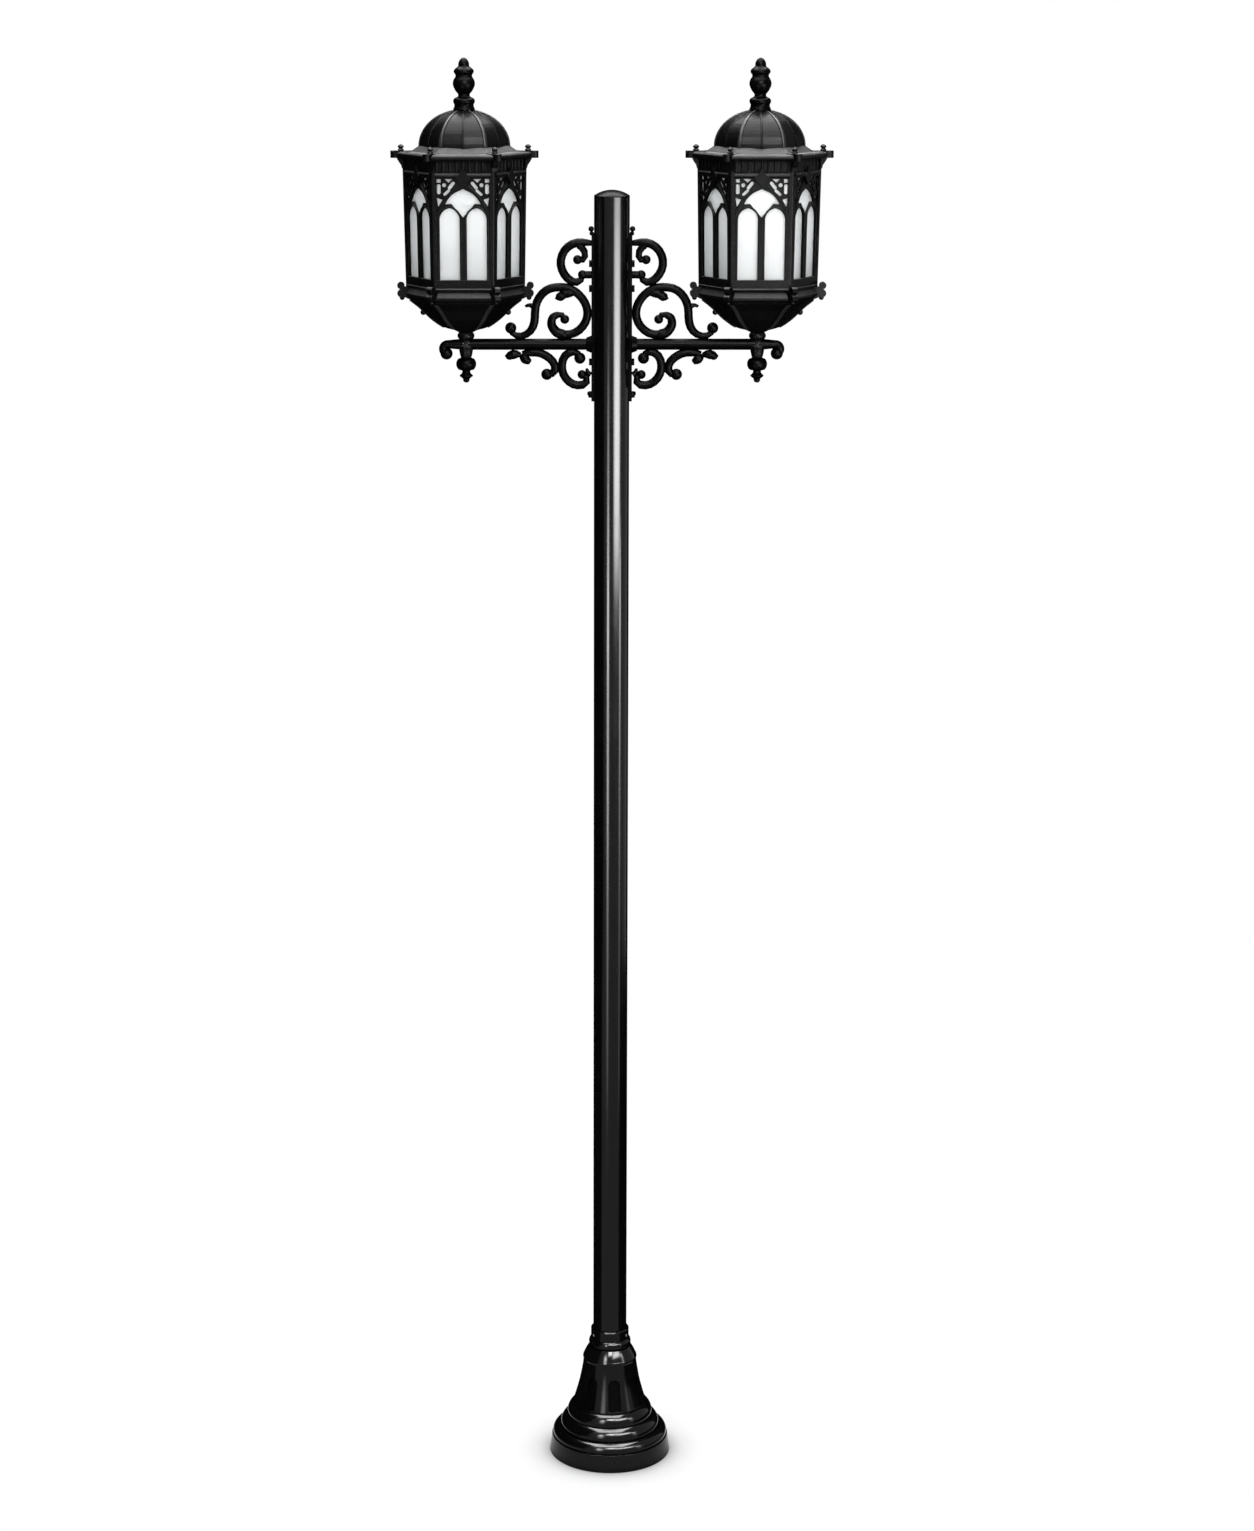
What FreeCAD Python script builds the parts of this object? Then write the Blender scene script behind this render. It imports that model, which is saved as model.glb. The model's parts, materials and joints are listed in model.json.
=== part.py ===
import FreeCAD, Part
import math
import os
from FreeCAD import Placement, Rotation, Vector

# Garden lamp post with two hexagonal lanterns on scrollwork brackets.
# Millimetres. Origin at the middle of the foot on the ground, +Z up, lanterns along -X (left) and +X (right).

os.makedirs("parts", exist_ok=True)

X_AXIS = Vector(1, 0, 0)
Y_AXIS = Vector(0, 1, 0)
Z_AXIS = Vector(0, 0, 1)
ORIGIN = Vector(0, 0, 0)

# Clearances
overrun = 5.0                   # how far every cutting tool runs past what it cuts
seat_gap = 0.1                  # between pieces that are fixed together round a curved face
running_gap = 0.1               # radial, round what is lifted or turned out
lift_gap = 0.3                  # under a piece that is lifted off
flat_gap = 0.2                  # between flat pieces that lie beside each other

# Pole
pole_height = 2881.0            # top of the tube
pole_diameter = 76.1
pole_wall = 3.2
pole_wire_hole = 14.0
cap_rim = 2.0
cap_rise = 12.0
cap_spigot = 22.0
cap_wall = 3.0

# Base flange, hidden by the cover
flange_thickness = 22.0
flange_edge_gap = 1.4           # from the flange's edge to the cover
flange_socket_wall = 9.0
flange_socket_height = 62.0
flange_pole_ledge = 8.0
flange_cable_hole = 60.0
anchor_circle = 200.0
anchor_hole = 14.0
anchor_count = 4
gusset_thickness = 8.0
gusset_reach = 26.0
gusset_count = 4
earth_screw_diameter = 6.0
earth_screw_length = 12.0
earth_screw_place = 66.0        # from the pole's middle
earth_screw_turn = -67.5        # degrees from +X
earth_head_across = 12.0
earth_head_height = 5.0

# Base cover. Its outline is in shares of its plinth's radius and of its height.
plinth_radius = 133.4
plinth_flare = 5.3              # how much wider the plinth is at the ground
plinth_height = 40.0
cover_height = 303.0
cover_wall = 6.0
cover_ground_gap = 0.5
ring_radius_shares = (0.985, 0.848, 0.728, 0.64)
ring_height_shares = (0.144, 0.216, 0.306, 0.396)
ring_bulge_shares = (0.24, 0.17, 0.15)   # bulge of each ring, as a share of its slope
ring_groove = 2.2
bell_radius_shares = (0.628, 0.588, 0.551, 0.518, 0.491, 0.468, 0.453)
bell_top_share = 0.749
band_proud = 1.4
band_height = 9.0
shoulder_height = 23.0
shoulder_proud = 4.6            # beyond the collar
shoulder_bulge_share = 0.03
bead_proud = 4.8
bead_height = 19.5
collar_wall = 5.0
collar_height = 24.0
collar_edge = 2.0
flute_count = 8
flute_turn = 8.2                # degrees, from straight ahead towards +X
flute_height_shares = (0.41, 0.645)
flute_bottom_width = 31.0
flute_top_width = 26.0
flute_depth = 3.0
grub_screw_diameter = 6.0
grub_screw_drop = 14.0          # below the top of the cover
grub_screw_count = 3
grub_screw_turn = 90.0

# Bracket, measured outward from the bar and up from the arm's middle
arm_below_top = 314.0           # from the top of the tube down to the arm
bracket_reach = 180.0           # bar face to the outermost curl
bar_thickness = 5.5
bar_width = 20.0
bar_above = 236.0
bar_below = 122.0
bar_knob_radius = 6.0
bar_knob_rise = 9.5
bar_bead_radius = 4.8
boss_length = 11.0
boss_wall = 2.4
boss_flare = 4.1
arm_diameter = 24.0
arm_wall = 2.6
arm_seat_depth = 10.0
bolt_diameter = 8.0
bolt_places = (172.0, 119.0, -38.0)
bolt_head_across = 13.0
bolt_head_height = 5.3
bolt_inside = 7.0
bolt_clearance = 0.2
scroll_radius = 9.2
scroll_end_share = 0.62         # radius at a scroll's ends
scroll_taper_share = 0.16       # of a scroll's length, at each end
scroll_station = 11.0           # spacing of the sections along a scroll
ball_radius = 12.2
small_ball_radius = 9.8
curl_radius = 8.0
curl_tip_share = 0.84
leaf_radius = 10.4
spur_radius = 7.0
leaf_tip_share = 0.42

# Centre lines, as shares of the bracket's reach: outward from the bar, up from the arm
upper_scroll_shares = ((-0.009, 1.196), (0.057, 1.203), (0.138, 1.205), (0.23, 1.183), (0.313, 1.117),
                       (0.36, 1.017), (0.362, 0.926), (0.331, 0.844), (0.271, 0.771), (0.189, 0.735),
                       (0.123, 0.766), (0.107, 0.824))
upper_curl_shares = ((0.157, 1.178), (0.098, 1.125), (0.075, 1.058), (0.098, 1.005), (0.165, 1.002))
main_scroll_shares = ((0.962, 0.194), (0.948, 0.138), (0.88, 0.1), (0.772, 0.121), (0.706, 0.19),
                      (0.678, 0.278), (0.673, 0.358), (0.665, 0.446), (0.637, 0.527), (0.578, 0.607),
                      (0.496, 0.66), (0.391, 0.677), (0.286, 0.669), (0.189, 0.622), (0.113, 0.549),
                      (0.062, 0.458), (0.047, 0.358), (0.067, 0.273), (0.12, 0.194), (0.208, 0.131),
                      (0.318, 0.115), (0.417, 0.146), (0.473, 0.227), (0.464, 0.311), (0.398, 0.354),
                      (0.332, 0.336), (0.318, 0.297))
inner_scroll_shares = ((0.138, -0.166), (0.152, -0.12), (0.212, -0.09), (0.284, -0.11), (0.337, -0.176),
                       (0.353, -0.257), (0.34, -0.344), (0.29, -0.426), (0.215, -0.479), (0.133, -0.49),
                       (0.066, -0.46), (0.058, -0.4), (0.112, -0.362))
outer_scroll_shares = ((0.827, -0.113), (0.728, -0.098), (0.632, -0.101), (0.552, -0.131), (0.486, -0.179),
                       (0.441, -0.242), (0.438, -0.312), (0.476, -0.356), (0.533, -0.359))
crossing_leaf_shares = ((0.149, 0.651), (0.23, 0.619), (0.332, 0.595), (0.417, 0.531))
main_spur_shares = ((0.672, 0.417), (0.728, 0.464), (0.789, 0.449))
fleur_shares = ((0.842, -0.125), (0.933, -0.122), (1.023, -0.157))
lower_leaf_shares = ((0.848, -0.131), (0.798, -0.172), (0.731, -0.221))
foot_spur_shares = ((-0.009, -0.625), (0.016, -0.593), (0.048, -0.582))
inner_tip_shares = ((0.01, -0.368), (0.045, -0.33), (0.054, -0.289))

# Rolled end of the arm, beyond the lantern
roll_offset = 39.5              # from the lantern's middle
roll_radius = 10.0
roll_tube_radius = 8.8
roll_ball_radius = 13.2
roll_turn = 165.0               # degrees

# Fitting on the arm, and what hangs under it. Outlines are shares of height, then of radius.
lantern_spread = 626.0          # between the middles of the two lanterns
fitting_above = 26.0
fitting_below = 27.0
fitting_radius = 18.3
fitting_shares = ((0.0, 0.64), (0.1, 0.72), (0.34, 0.86), (0.46, 0.9), (0.5, 0.76), (0.7, 0.76),
                  (0.75, 0.88), (0.86, 1.0), (0.95, 0.92), (1.0, 0.78))
drop_height = 55.4
drop_radius = 21.5
drop_shares = ((0.0, 0.0), (0.02, 0.2), (0.08, 0.32), (0.14, 0.34), (0.27, 0.67), (0.36, 0.46),
               (0.42, 0.4), (0.47, 0.42), (0.5, 0.7), (0.56, 0.88), (0.66, 0.98), (0.75, 1.0),
               (0.85, 0.93), (0.92, 0.8), (0.965, 0.56), (1.0, 0.5))
nipple_diameter = 13.0
nipple_bore = 8.0
nipple_into_drop = 16.0
nut_across = 20.0
nut_height = 8.0

# Bowl, with its corner radius at shares of its height
bowl_height = 71.3
bowl_radius = 122.0
bowl_wall = 3.2
bowl_shares = ((0.0, 0.13), (0.06, 0.2), (0.1, 0.3), (0.15, 0.39), (0.27, 0.5), (0.45, 0.635),
               (0.74, 0.81), (1.0, 1.0))
bowl_floor_share = 0.06         # height of the floor that the nut sits on
bowl_knob_radius = 6.2
bowl_knob_share = 0.6           # height of the knobs on the bowl
bowl_knob_stand = 2.5

# Ledge on the bowl, with an ear at each corner
ledge_height = 26.2
ledge_proud = 8.5               # beyond the bowl
ledge_inset = 26.6              # from the cage's corner in to the opening
ledge_top_inset = 6.6
ledge_edge_shares = (0.3, 0.46)
ear_width = 13.0
ear_proud = 15.5                # beyond the ledge
ear_ball_radius = 7.6
ear_ball_rise = 2.4             # of the ball's middle, above the ledge
ear_lobe_radius = 8.4
ear_lobe_rise = 12.0            # of the lobe's middle, above the bowl
ear_drop_radius = 5.4

# Cage of posts and panels
cage_radius = 127.9             # to the corners, at the foot
cage_spread = 4.6               # how much wider it is at the top
cage_height = 271.2
post_leg = 5.4                  # width of a post's face at the foot
post_depth = 7.5
post_rounding = 3.0
corbel_width = 12.0
corbel_height = 22.0
corbel_reach = 11.0
corbel_shares = ((0.0, 0.0), (0.2, 0.36), (0.64, 0.66), (1.0, 1.0))
panel_thickness = 7.0
panel_foot_depth = 14.0
panel_foot_height = 8.0
sill_height = 23.2
sill_bead_height = 6.0
sill_bead_proud = 1.6
top_rail_height = 11.4
top_rail_proud = 2.6
frieze_height = 24.7
frieze_recess = 4.0
reed_count = 9
reed_radius = 3.4
tracery_recess = 1.6
spandrel_recess = 3.2
window_edge = 2.5               # flat edge of the panel beside the tracery
stile_width = 9.2
mullion_width = 15.0
lancet_spring_share = 0.632     # height of the springing, as a share of the top rail's height
lancet_rise = 25.0
boss_proud = 3.4

# Tracery, as shares of the panel's half width and of the top rail's height.
# An oval adds its half length and half width.
lens_shares = ((0.0, 0.655), (-0.125, 0.692), (-0.276, 0.734), (-0.41, 0.775), (-0.63, 0.772))
lens_arc_shares = ((-0.46, 0.838), (-0.26, 0.877))
lens_top_share = 0.906
spandrel_shares = ((-0.956, 0.7), (-0.83, 0.747), (-0.715, 0.798), (-0.58, 0.845), (-0.43, 0.896),
                   (-0.295, 0.937), (-0.2, 0.999), (-0.956, 0.999))
corner_hole_shares = ((-0.94, 0.995), (-0.79, 0.995), (-0.79, 0.962), (-0.94, 0.962))
rail_hole_shares = ((-0.66, 0.995), (-0.36, 0.995), (-0.515, 0.962))
post_hole_shares = ((-0.94, 0.83), (-0.735, 0.812), (-0.885, 0.75))
oval_hole_shares = ((-0.668, 0.94, 0.073, 0.073), (-0.411, 0.937, 0.166, 0.06),
                    (-0.58, 0.875, 0.149, 0.052), (-0.866, 0.905, 0.18, 0.072))
oval_hole_turns = (0.0, 51.0, 42.0, 90.0)
boss_shares = ((0.0, 1.095), (-0.1, 1.045), (-0.27, 1.012), (-0.25, 0.995), (-0.13, 0.965), (-0.09, 0.945),
               (0.0, 0.935))

# Glass and its clips
glass_thickness = 4.0
glass_side_inset = 5.4
glass_lap = 5.0                 # behind the top rail
clip_width = 12.0
clip_thickness = 1.6
clip_lap = 5.0
clip_foot = 5.0
clip_spare = 1.0                # above the panel's foot
clip_spread = 60.0

# Lamp holder and bulb. The bulb's outline is shares of its height and radius.
holder_height = 46.0
holder_radius = 21.0
holder_collar_radius = 24.0
holder_collar_height = 8.0
holder_socket_depth = 30.0
holder_sink = 8.0               # below the top of the ledge
bulb_cap_radius = 13.2
bulb_radius = 30.0
bulb_height = 108.0
bulb_shares = ((0.29, 0.42), (0.36, 0.53), (0.47, 0.78), (0.58, 0.95), (0.72, 1.0), (0.85, 0.88),
               (0.95, 0.52), (1.0, 0.0))

# Roof. Outlines of the knobs and the finial are shares of height, then of radius.
eave_thickness = 13.4
eave_overhang = 8.5             # beyond the cage
eave_roll_radius = 6.2
eave_opening_inset = 11.0       # from the dome in to the opening
lug_width = 17.0
lug_overhang = 24.7
lug_height = 15.0
knob_offset = 2.4               # of each knob screw, beyond the cage's corner
knob_screw_diameter = 6.0
knob_screw_length = 7.0
knob_radius = 6.5
knob_height = 14.0
knob_shares = ((0.0, 0.9), (0.12, 1.0), (0.24, 0.9), (0.34, 0.62), (0.48, 0.92), (0.62, 1.0), (0.8, 0.74),
               (0.93, 0.3), (1.0, 0.0))
skirt_height = 11.7
skirt_spread = 19.0             # beyond the dome, at the eave
skirt_lip = 2.0
dome_radius = 95.0
dome_height = 74.0
dome_wall = 3.2
dome_crease_share = 0.915       # radius of the creases, as a share of the ribs' radius
dome_top_share = 0.2            # radius of the flat top
dome_stations = 14
finial_height = 108.9
finial_radius = 23.8
finial_shares = ((0.0, 0.97), (0.04, 0.93), (0.08, 0.86), (0.117, 0.88), (0.155, 0.955), (0.193, 0.955),
                 (0.231, 0.81), (0.265, 0.55), (0.307, 0.53), (0.346, 0.67), (0.384, 0.79), (0.422, 0.88),
                 (0.46, 0.95), (0.498, 0.985), (0.536, 0.97), (0.574, 0.92), (0.612, 0.82), (0.649, 0.735),
                 (0.687, 0.785), (0.725, 0.89), (0.763, 0.86), (0.801, 0.7), (0.839, 0.5), (0.877, 0.485),
                 (0.915, 0.445), (0.953, 0.35), (0.985, 0.2), (1.0, 0.0))
stud_diameter = 8.0
stud_length = 22.0
stud_nut_across = 13.0
stud_nut_height = 6.5

# Worked out from the sizes above
pole_radius = pole_diameter / 2
pole_bore_radius = pole_radius - pole_wall
flange_radius = plinth_radius * ring_radius_shares[0] - cover_wall - flange_edge_gap
cover_bore_radius = pole_radius + lift_gap
collar_radius = cover_bore_radius + collar_wall
arm_height = pole_height - arm_below_top
bar_face = pole_radius + bar_thickness
bar_seat_radius = pole_radius + seat_gap
arm_radius = arm_diameter / 2
arm_bore_radius = arm_radius - arm_wall
arm_start = bar_face + boss_length - arm_seat_depth
boss_nose_radius = arm_radius + boss_wall
boss_radius = boss_nose_radius + boss_flare
bolt_radius = bolt_diameter / 2
bolt_hole_radius = bolt_radius + bolt_clearance
lantern_x = lantern_spread / 2
nipple_radius = nipple_diameter / 2
nipple_hole_radius = nipple_radius + seat_gap
fitting_top = fitting_above                 # brackets and lanterns are drawn with the arm at z = 0
fitting_bottom = -fitting_below
bowl_top = fitting_top + bowl_height
ledge_top = bowl_top + ledge_height
ledge_radius = bowl_radius + ledge_proud
ledge_opening_radius = cage_radius - ledge_inset
cage_top = ledge_top + cage_height
cage_top_radius = cage_radius + cage_spread
corner_slope = math.radians(30)
hex_flat = math.cos(corner_slope)           # apothem of a hexagon with corner radius one
panel_half_width = cage_radius / 2 - post_leg
panel_foot_plane = cage_radius * hex_flat
panel_lean = math.degrees(math.atan(cage_spread * hex_flat / cage_height))
top_rail_top = cage_height - frieze_height
top_rail_low = top_rail_top - top_rail_height
lancet_half_width = (panel_half_width - stile_width - mullion_width / 2) / 2
lancet_middle = mullion_width / 2 + lancet_half_width
lancet_spring = top_rail_low * lancet_spring_share
glass_half_width = panel_half_width - glass_side_inset
glass_bottom = panel_foot_height + clip_foot + clip_spare
glass_top = top_rail_low + glass_lap
glass_front = panel_thickness + flat_gap
glass_back = glass_front + glass_thickness
holder_bottom = ledge_top - holder_sink
holder_top = holder_bottom + holder_height
bulb_bottom = holder_top - holder_socket_depth + lift_gap
eave_bottom = cage_top + lift_gap
eave_top = eave_bottom + eave_thickness
eave_radius = cage_top_radius + eave_overhang
knob_screw_radius = knob_screw_diameter / 2
knob_place = cage_top_radius + knob_offset
skirt_radius = dome_radius + skirt_spread
skirt_top = eave_top + skirt_height
dome_top = skirt_top + dome_height
stud_radius = stud_diameter / 2
sides = (("left", -1), ("right", 1))


# Helpers

def at(x, y, z):
    """A point."""
    return Vector(x, y, z)


def cylinder(radius, height, base=ORIGIN, direction=Z_AXIS):
    """A cylinder that starts at base and runs along direction."""
    return Part.makeCylinder(radius, height, base, direction)


def block(low, high):
    """A box between two corners."""
    size = high - low
    return Part.makeBox(size.x, size.y, size.z, low)


def turned(shape, degrees, axis=Z_AXIS, centre=ORIGIN):
    """A copy of the shape, turned about an axis."""
    copy = shape.copy()
    copy.rotate(centre, axis, degrees)
    return copy


def moved(shape, shift):
    """A copy of the shape, shifted."""
    copy = shape.copy()
    copy.translate(shift)
    return copy


def mirrored(shape):
    """The shape on the other side of the plane x = 0."""
    return shape.mirror(ORIGIN, X_AXIS)


def ring_of(shape, count, turn=0.0):
    """Copies of the shape, spaced evenly round Z."""
    return [turned(shape, turn + 360 * k / count) for k in range(count)]


def on_six(shape):
    """Six copies of a piece, one for each side or corner of a lantern."""
    return ring_of(shape, 6)


def loop(points):
    """A closed wire through the points."""
    return Part.makePolygon(list(points) + [points[0]])


def prism(points, direction):
    """A flat outline, pushed along direction."""
    return Part.Face(loop(points)).extrude(direction)


def hexagon(radius, height):
    """A hexagon with corners on +X and -X."""
    turns = [math.radians(60 * k) for k in range(6)]
    return loop([at(radius * math.cos(t), radius * math.sin(t), height) for t in turns])


def hex_stack(stations):
    """A solid through hexagons, given as corner radius and height."""
    return Part.makeLoft([hexagon(radius, height) for radius, height in stations], True, True)


def hex_bar(across_flats, height, base, direction=Z_AXIS):
    """A nut or bolt head."""
    radius = across_flats / 2 / hex_flat
    body = hex_stack(((radius, 0), (radius, height)))
    body.Placement = Placement(base, Rotation(Z_AXIS, direction))
    return body


def edge_through(points):
    """A line through two points, an arc through three, or a smooth curve through more."""
    if len(points) == 2:
        return Part.LineSegment(*points).toShape()
    if len(points) == 3:
        return Part.Arc(*points).toShape()
    curve = Part.BSplineCurve()
    curve.interpolate(points)
    return curve.toShape()


def lathe(runs):
    """A turned solid, from runs of radius and height pairs. Each run starts where the last one ended."""
    edges = [edge_through([at(radius, 0, height) for radius, height in run]) for run in runs]
    low, high = runs[0][0], runs[-1][-1]
    closing = [at(high[0], 0, high[1]), at(0, 0, high[1]), at(0, 0, low[1]), at(low[0], 0, low[1])]
    for start, end in zip(closing, closing[1:]):
        if start != end:
            edges.append(edge_through([start, end]))
    return Part.Face(Part.Wire(edges)).revolve(ORIGIN, Z_AXIS, 360)


def straight(outline):
    """An outline of points as runs of straight lines."""
    return [outline[k:k + 2] for k in range(len(outline) - 1)]


def smooth_lathe(shares, radius, height, base):
    """A turned solid with a smooth outline, from shares of height and of radius."""
    return lathe([[(radius * across, base + height * up) for up, across in shares]])


def fused(pieces):
    """One solid from pieces that touch."""
    return pieces[0].fuse(pieces[1:]).removeSplitter()


def export(name, shape):
    """Writes one sub-part, and says what it is."""
    shape.exportStep("parts/" + name + ".step")
    print(name, len(shape.Solids), round(shape.Volume), shape.isValid())


def export_group(name, solids):
    """Writes a set of like pieces as one sub-part."""
    export(name, Part.makeCompound(solids))


# Pole

def pole_tube():
    tube = cylinder(pole_radius, pole_height - flange_pole_ledge, at(0, 0, flange_pole_ledge))
    tube = tube.cut(cylinder(pole_bore_radius, pole_height))
    holes = []
    for _, way in sides:
        outward = X_AXIS * way
        holes.append(cylinder(pole_wire_hole / 2, pole_diameter, at(0, 0, arm_height), outward))
        for place in bolt_places:
            holes.append(cylinder(bolt_hole_radius, pole_diameter, at(0, 0, arm_height + place), outward))
    return tube.cut(holes)


def pole_cap():
    crown_radius = (pole_radius ** 2 + cap_rise ** 2) / 2 / cap_rise
    ball = Part.makeSphere(crown_radius, at(0, 0, pole_height + cap_rim + cap_rise - crown_radius))
    crown = ball.common(cylinder(pole_radius, cap_rise + overrun, at(0, 0, pole_height + cap_rim)))
    rim = cylinder(pole_radius, cap_rim, at(0, 0, pole_height))
    spigot_radius = pole_bore_radius - seat_gap
    spigot = cylinder(spigot_radius, cap_spigot, at(0, 0, pole_height - cap_spigot))
    hollow = cylinder(spigot_radius - cap_wall, cap_spigot, at(0, 0, pole_height - cap_spigot))
    return fused([crown, rim, spigot.cut(hollow)])


# Base

def base_flange():
    socket_bore = pole_radius + seat_gap
    socket_radius = socket_bore + flange_socket_wall
    plate = cylinder(flange_radius, flange_thickness)
    socket = cylinder(socket_radius, flange_socket_height)
    root, tip = socket_radius - flange_socket_wall / 2, socket_radius + gusset_reach
    outline = (at(root, 0, flange_thickness / 2), at(tip, 0, flange_thickness / 2),
               at(tip, 0, flange_thickness), at(socket_radius, 0, flange_socket_height),
               at(root, 0, flange_socket_height))
    gusset = moved(prism(outline, Y_AXIS * gusset_thickness), Y_AXIS * (-gusset_thickness / 2))
    body = fused([plate, socket] + ring_of(gusset, gusset_count))
    anchor = cylinder(anchor_hole / 2, flange_thickness + 2 * overrun, at(anchor_circle / 2, 0, -overrun))
    earth = cylinder(earth_screw_diameter / 2 + seat_gap, earth_screw_length + overrun,
                     at(earth_screw_place, 0, flange_thickness - earth_screw_length))
    holes = [cylinder(socket_bore, pole_height, at(0, 0, flange_pole_ledge)),
             cylinder(flange_cable_hole / 2, pole_height, at(0, 0, -overrun)),
             turned(earth, earth_screw_turn)]
    return body.cut(holes + ring_of(anchor, anchor_count, 180 / anchor_count))


def earth_screw():
    bottom = flange_thickness - earth_screw_length + seat_gap
    shank = cylinder(earth_screw_diameter / 2, flange_thickness - bottom, at(earth_screw_place, 0, bottom))
    head = hex_bar(earth_head_across, earth_head_height, at(earth_screw_place, 0, flange_thickness))
    return turned(fused([shank, head]), earth_screw_turn)


def bell_outline(inset):
    """Radius and height of the bell, drawn in by inset."""
    bottom = cover_height * ring_height_shares[-1] + ring_groove
    top = cover_height * bell_top_share
    steps = len(bell_radius_shares) - 1
    return [(plinth_radius * share - inset, bottom + (top - bottom) * step / steps)
            for step, share in enumerate(bell_radius_shares)]


def ring_runs():
    """The three bulging rings above the plinth, each with a groove over it."""
    corners = [(plinth_radius * across, cover_height * up)
               for across, up in zip(ring_radius_shares, ring_height_shares)]
    runs = []
    for (outer, bottom), (inner, top), bulge in zip(corners, corners[1:], ring_bulge_shares):
        edge = top - ring_groove
        groove = inner - ring_groove
        middle = ((outer + inner) / 2 + (edge - bottom) * bulge,
                  (bottom + edge) / 2 + (outer - inner) * bulge)
        runs.append([(outer, bottom), middle, (inner, edge)])
        runs += straight([(inner, edge), (groove, edge), (groove, top), (inner, top)])
    return runs[:-1]


def cover_outside():
    """The outline of the cover, from the ground up."""
    first = plinth_radius * ring_radius_shares[0]
    first_height = cover_height * ring_height_shares[0]
    rings = ring_runs()
    bell = bell_outline(0)
    band, band_bottom = bell[-1]
    band_top = band_bottom + band_height
    band_middle = (band + band_proud, band_bottom + band_height / 2)
    shoulder = collar_radius + shoulder_proud
    shoulder_top = band_top + shoulder_height
    bulge = shoulder_bulge_share
    shoulder_middle = ((band + shoulder) / 2 + shoulder_height * bulge,
                       (band_top + shoulder_top) / 2 + (band - shoulder) * bulge)
    bead_top = shoulder_top + bead_height
    collar_bottom = cover_height - collar_height
    foot = straight([(plinth_radius + plinth_flare, cover_ground_gap), (plinth_radius, plinth_height),
                     (first - ring_groove, plinth_height), (first - ring_groove, first_height),
                     (first, first_height)])
    return (foot + rings + [[rings[-1][-1], bell[0]], bell]
            + [[(band, band_bottom), band_middle, (band, band_top)],
               [(band, band_top), shoulder_middle, (shoulder, shoulder_top)],
               [(shoulder, shoulder_top), (collar_radius, shoulder_top)],
               [(collar_radius, shoulder_top), (collar_radius + bead_proud, (shoulder_top + bead_top) / 2),
                (collar_radius, bead_top)]]
            + straight([(collar_radius, bead_top), (collar_radius - collar_edge, bead_top),
                        (collar_radius - collar_edge, collar_bottom), (collar_radius, collar_bottom),
                        (collar_radius, cover_height - collar_edge),
                        (collar_radius - collar_edge, cover_height)]))


def cover_inside():
    """The hollow under the cover."""
    rings = [(plinth_radius * across - cover_wall, cover_height * up)
             for across, up in zip(ring_radius_shares, ring_height_shares)]
    bell = bell_outline(cover_wall)
    top = (cover_bore_radius, bell[-1][1] + cover_wall)
    return straight([(rings[0][0], -overrun)] + rings + bell[1:] + [top])


def flute_tool():
    """An arched recess of even depth in the bell, straight ahead of the viewer."""
    bottom, top = [cover_height * share for share in flute_height_shares]
    low, high = flute_bottom_width / 2, flute_top_width / 2
    spring = top - high
    reach = -(plinth_radius + overrun)
    outline = (at(-low, reach, bottom), at(low, reach, bottom), at(high, reach, spring),
               at(-high, reach, spring))
    slot = prism(outline, Y_AXIS * plinth_radius)
    arch = cylinder(high, plinth_radius, at(0, reach, spring), Y_AXIS)
    core = lathe([bell_outline(flute_depth)])
    return slot.fuse(arch).cut(core)


def base_cover():
    body = lathe(cover_outside()).cut(lathe(cover_inside()))
    bore = cylinder(cover_bore_radius, cover_height, at(0, 0, bell_outline(0)[-1][1]))
    screw_height = cover_height - grub_screw_drop
    grub = cylinder(grub_screw_diameter / 2 + seat_gap, pole_diameter, at(0, 0, screw_height), X_AXIS)
    return body.cut([bore] + ring_of(grub, grub_screw_count, grub_screw_turn)
                    + ring_of(flute_tool(), flute_count, flute_turn))


def cover_grub_screws():
    start = at(cover_bore_radius, 0, cover_height - grub_screw_drop)
    screw = cylinder(grub_screw_diameter / 2, collar_wall, start, X_AXIS)
    return ring_of(screw, grub_screw_count, grub_screw_turn)


# Bracket, all on the +X side and with the middle of the arm at z = 0

def bracket_point(share):
    """A point of the bracket's plane from its outward and upward shares."""
    return at(bar_face + bracket_reach * share[0], 0, bracket_reach * share[1])


def round_bar(shares, radius_at):
    """A round bar along a smooth line, with its radius given along the way."""
    curve = Part.BSplineCurve()
    curve.interpolate([bracket_point(share) for share in shares])
    first, last = curve.FirstParameter, curve.LastParameter
    count = max(4, math.ceil(curve.length() / scroll_station))
    sections = []
    for step in range(count + 1):
        along = step / count
        place = first + (last - first) * along
        middle = curve.value(place)
        radius = radius_at(along)
        across = curve.tangent(place)[0].cross(Y_AXIS) * radius
        circle = Part.Circle(middle + Y_AXIS * radius, middle + across, middle - Y_AXIS * radius)
        sections.append(Part.Wire(circle.toShape()))
    return Part.makeLoft(sections, True, True)


def scroll_swell(along):
    """Radius of a scroll: full in the middle, slimmer at both ends."""
    end = scroll_radius * scroll_end_share
    rise = math.sin(math.pi * along) / math.sin(math.pi * scroll_taper_share)
    return end + (scroll_radius - end) * min(1.0, rise)


def leaf_swell(along):
    """Radius of a leaf: thin, full, and thin at the tip."""
    tip = leaf_radius * leaf_tip_share
    return tip + (leaf_radius - tip) * math.sin(math.pi * along)


def curl_taper(along):
    """Radius of the small curl, a little slimmer at its end."""
    return curl_radius * (1 + (curl_tip_share - 1) * along)


def spur_taper(along):
    """Radius of a spur, which runs out to a thin end."""
    return spur_radius * (1 + (leaf_tip_share - 1) * along)


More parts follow.
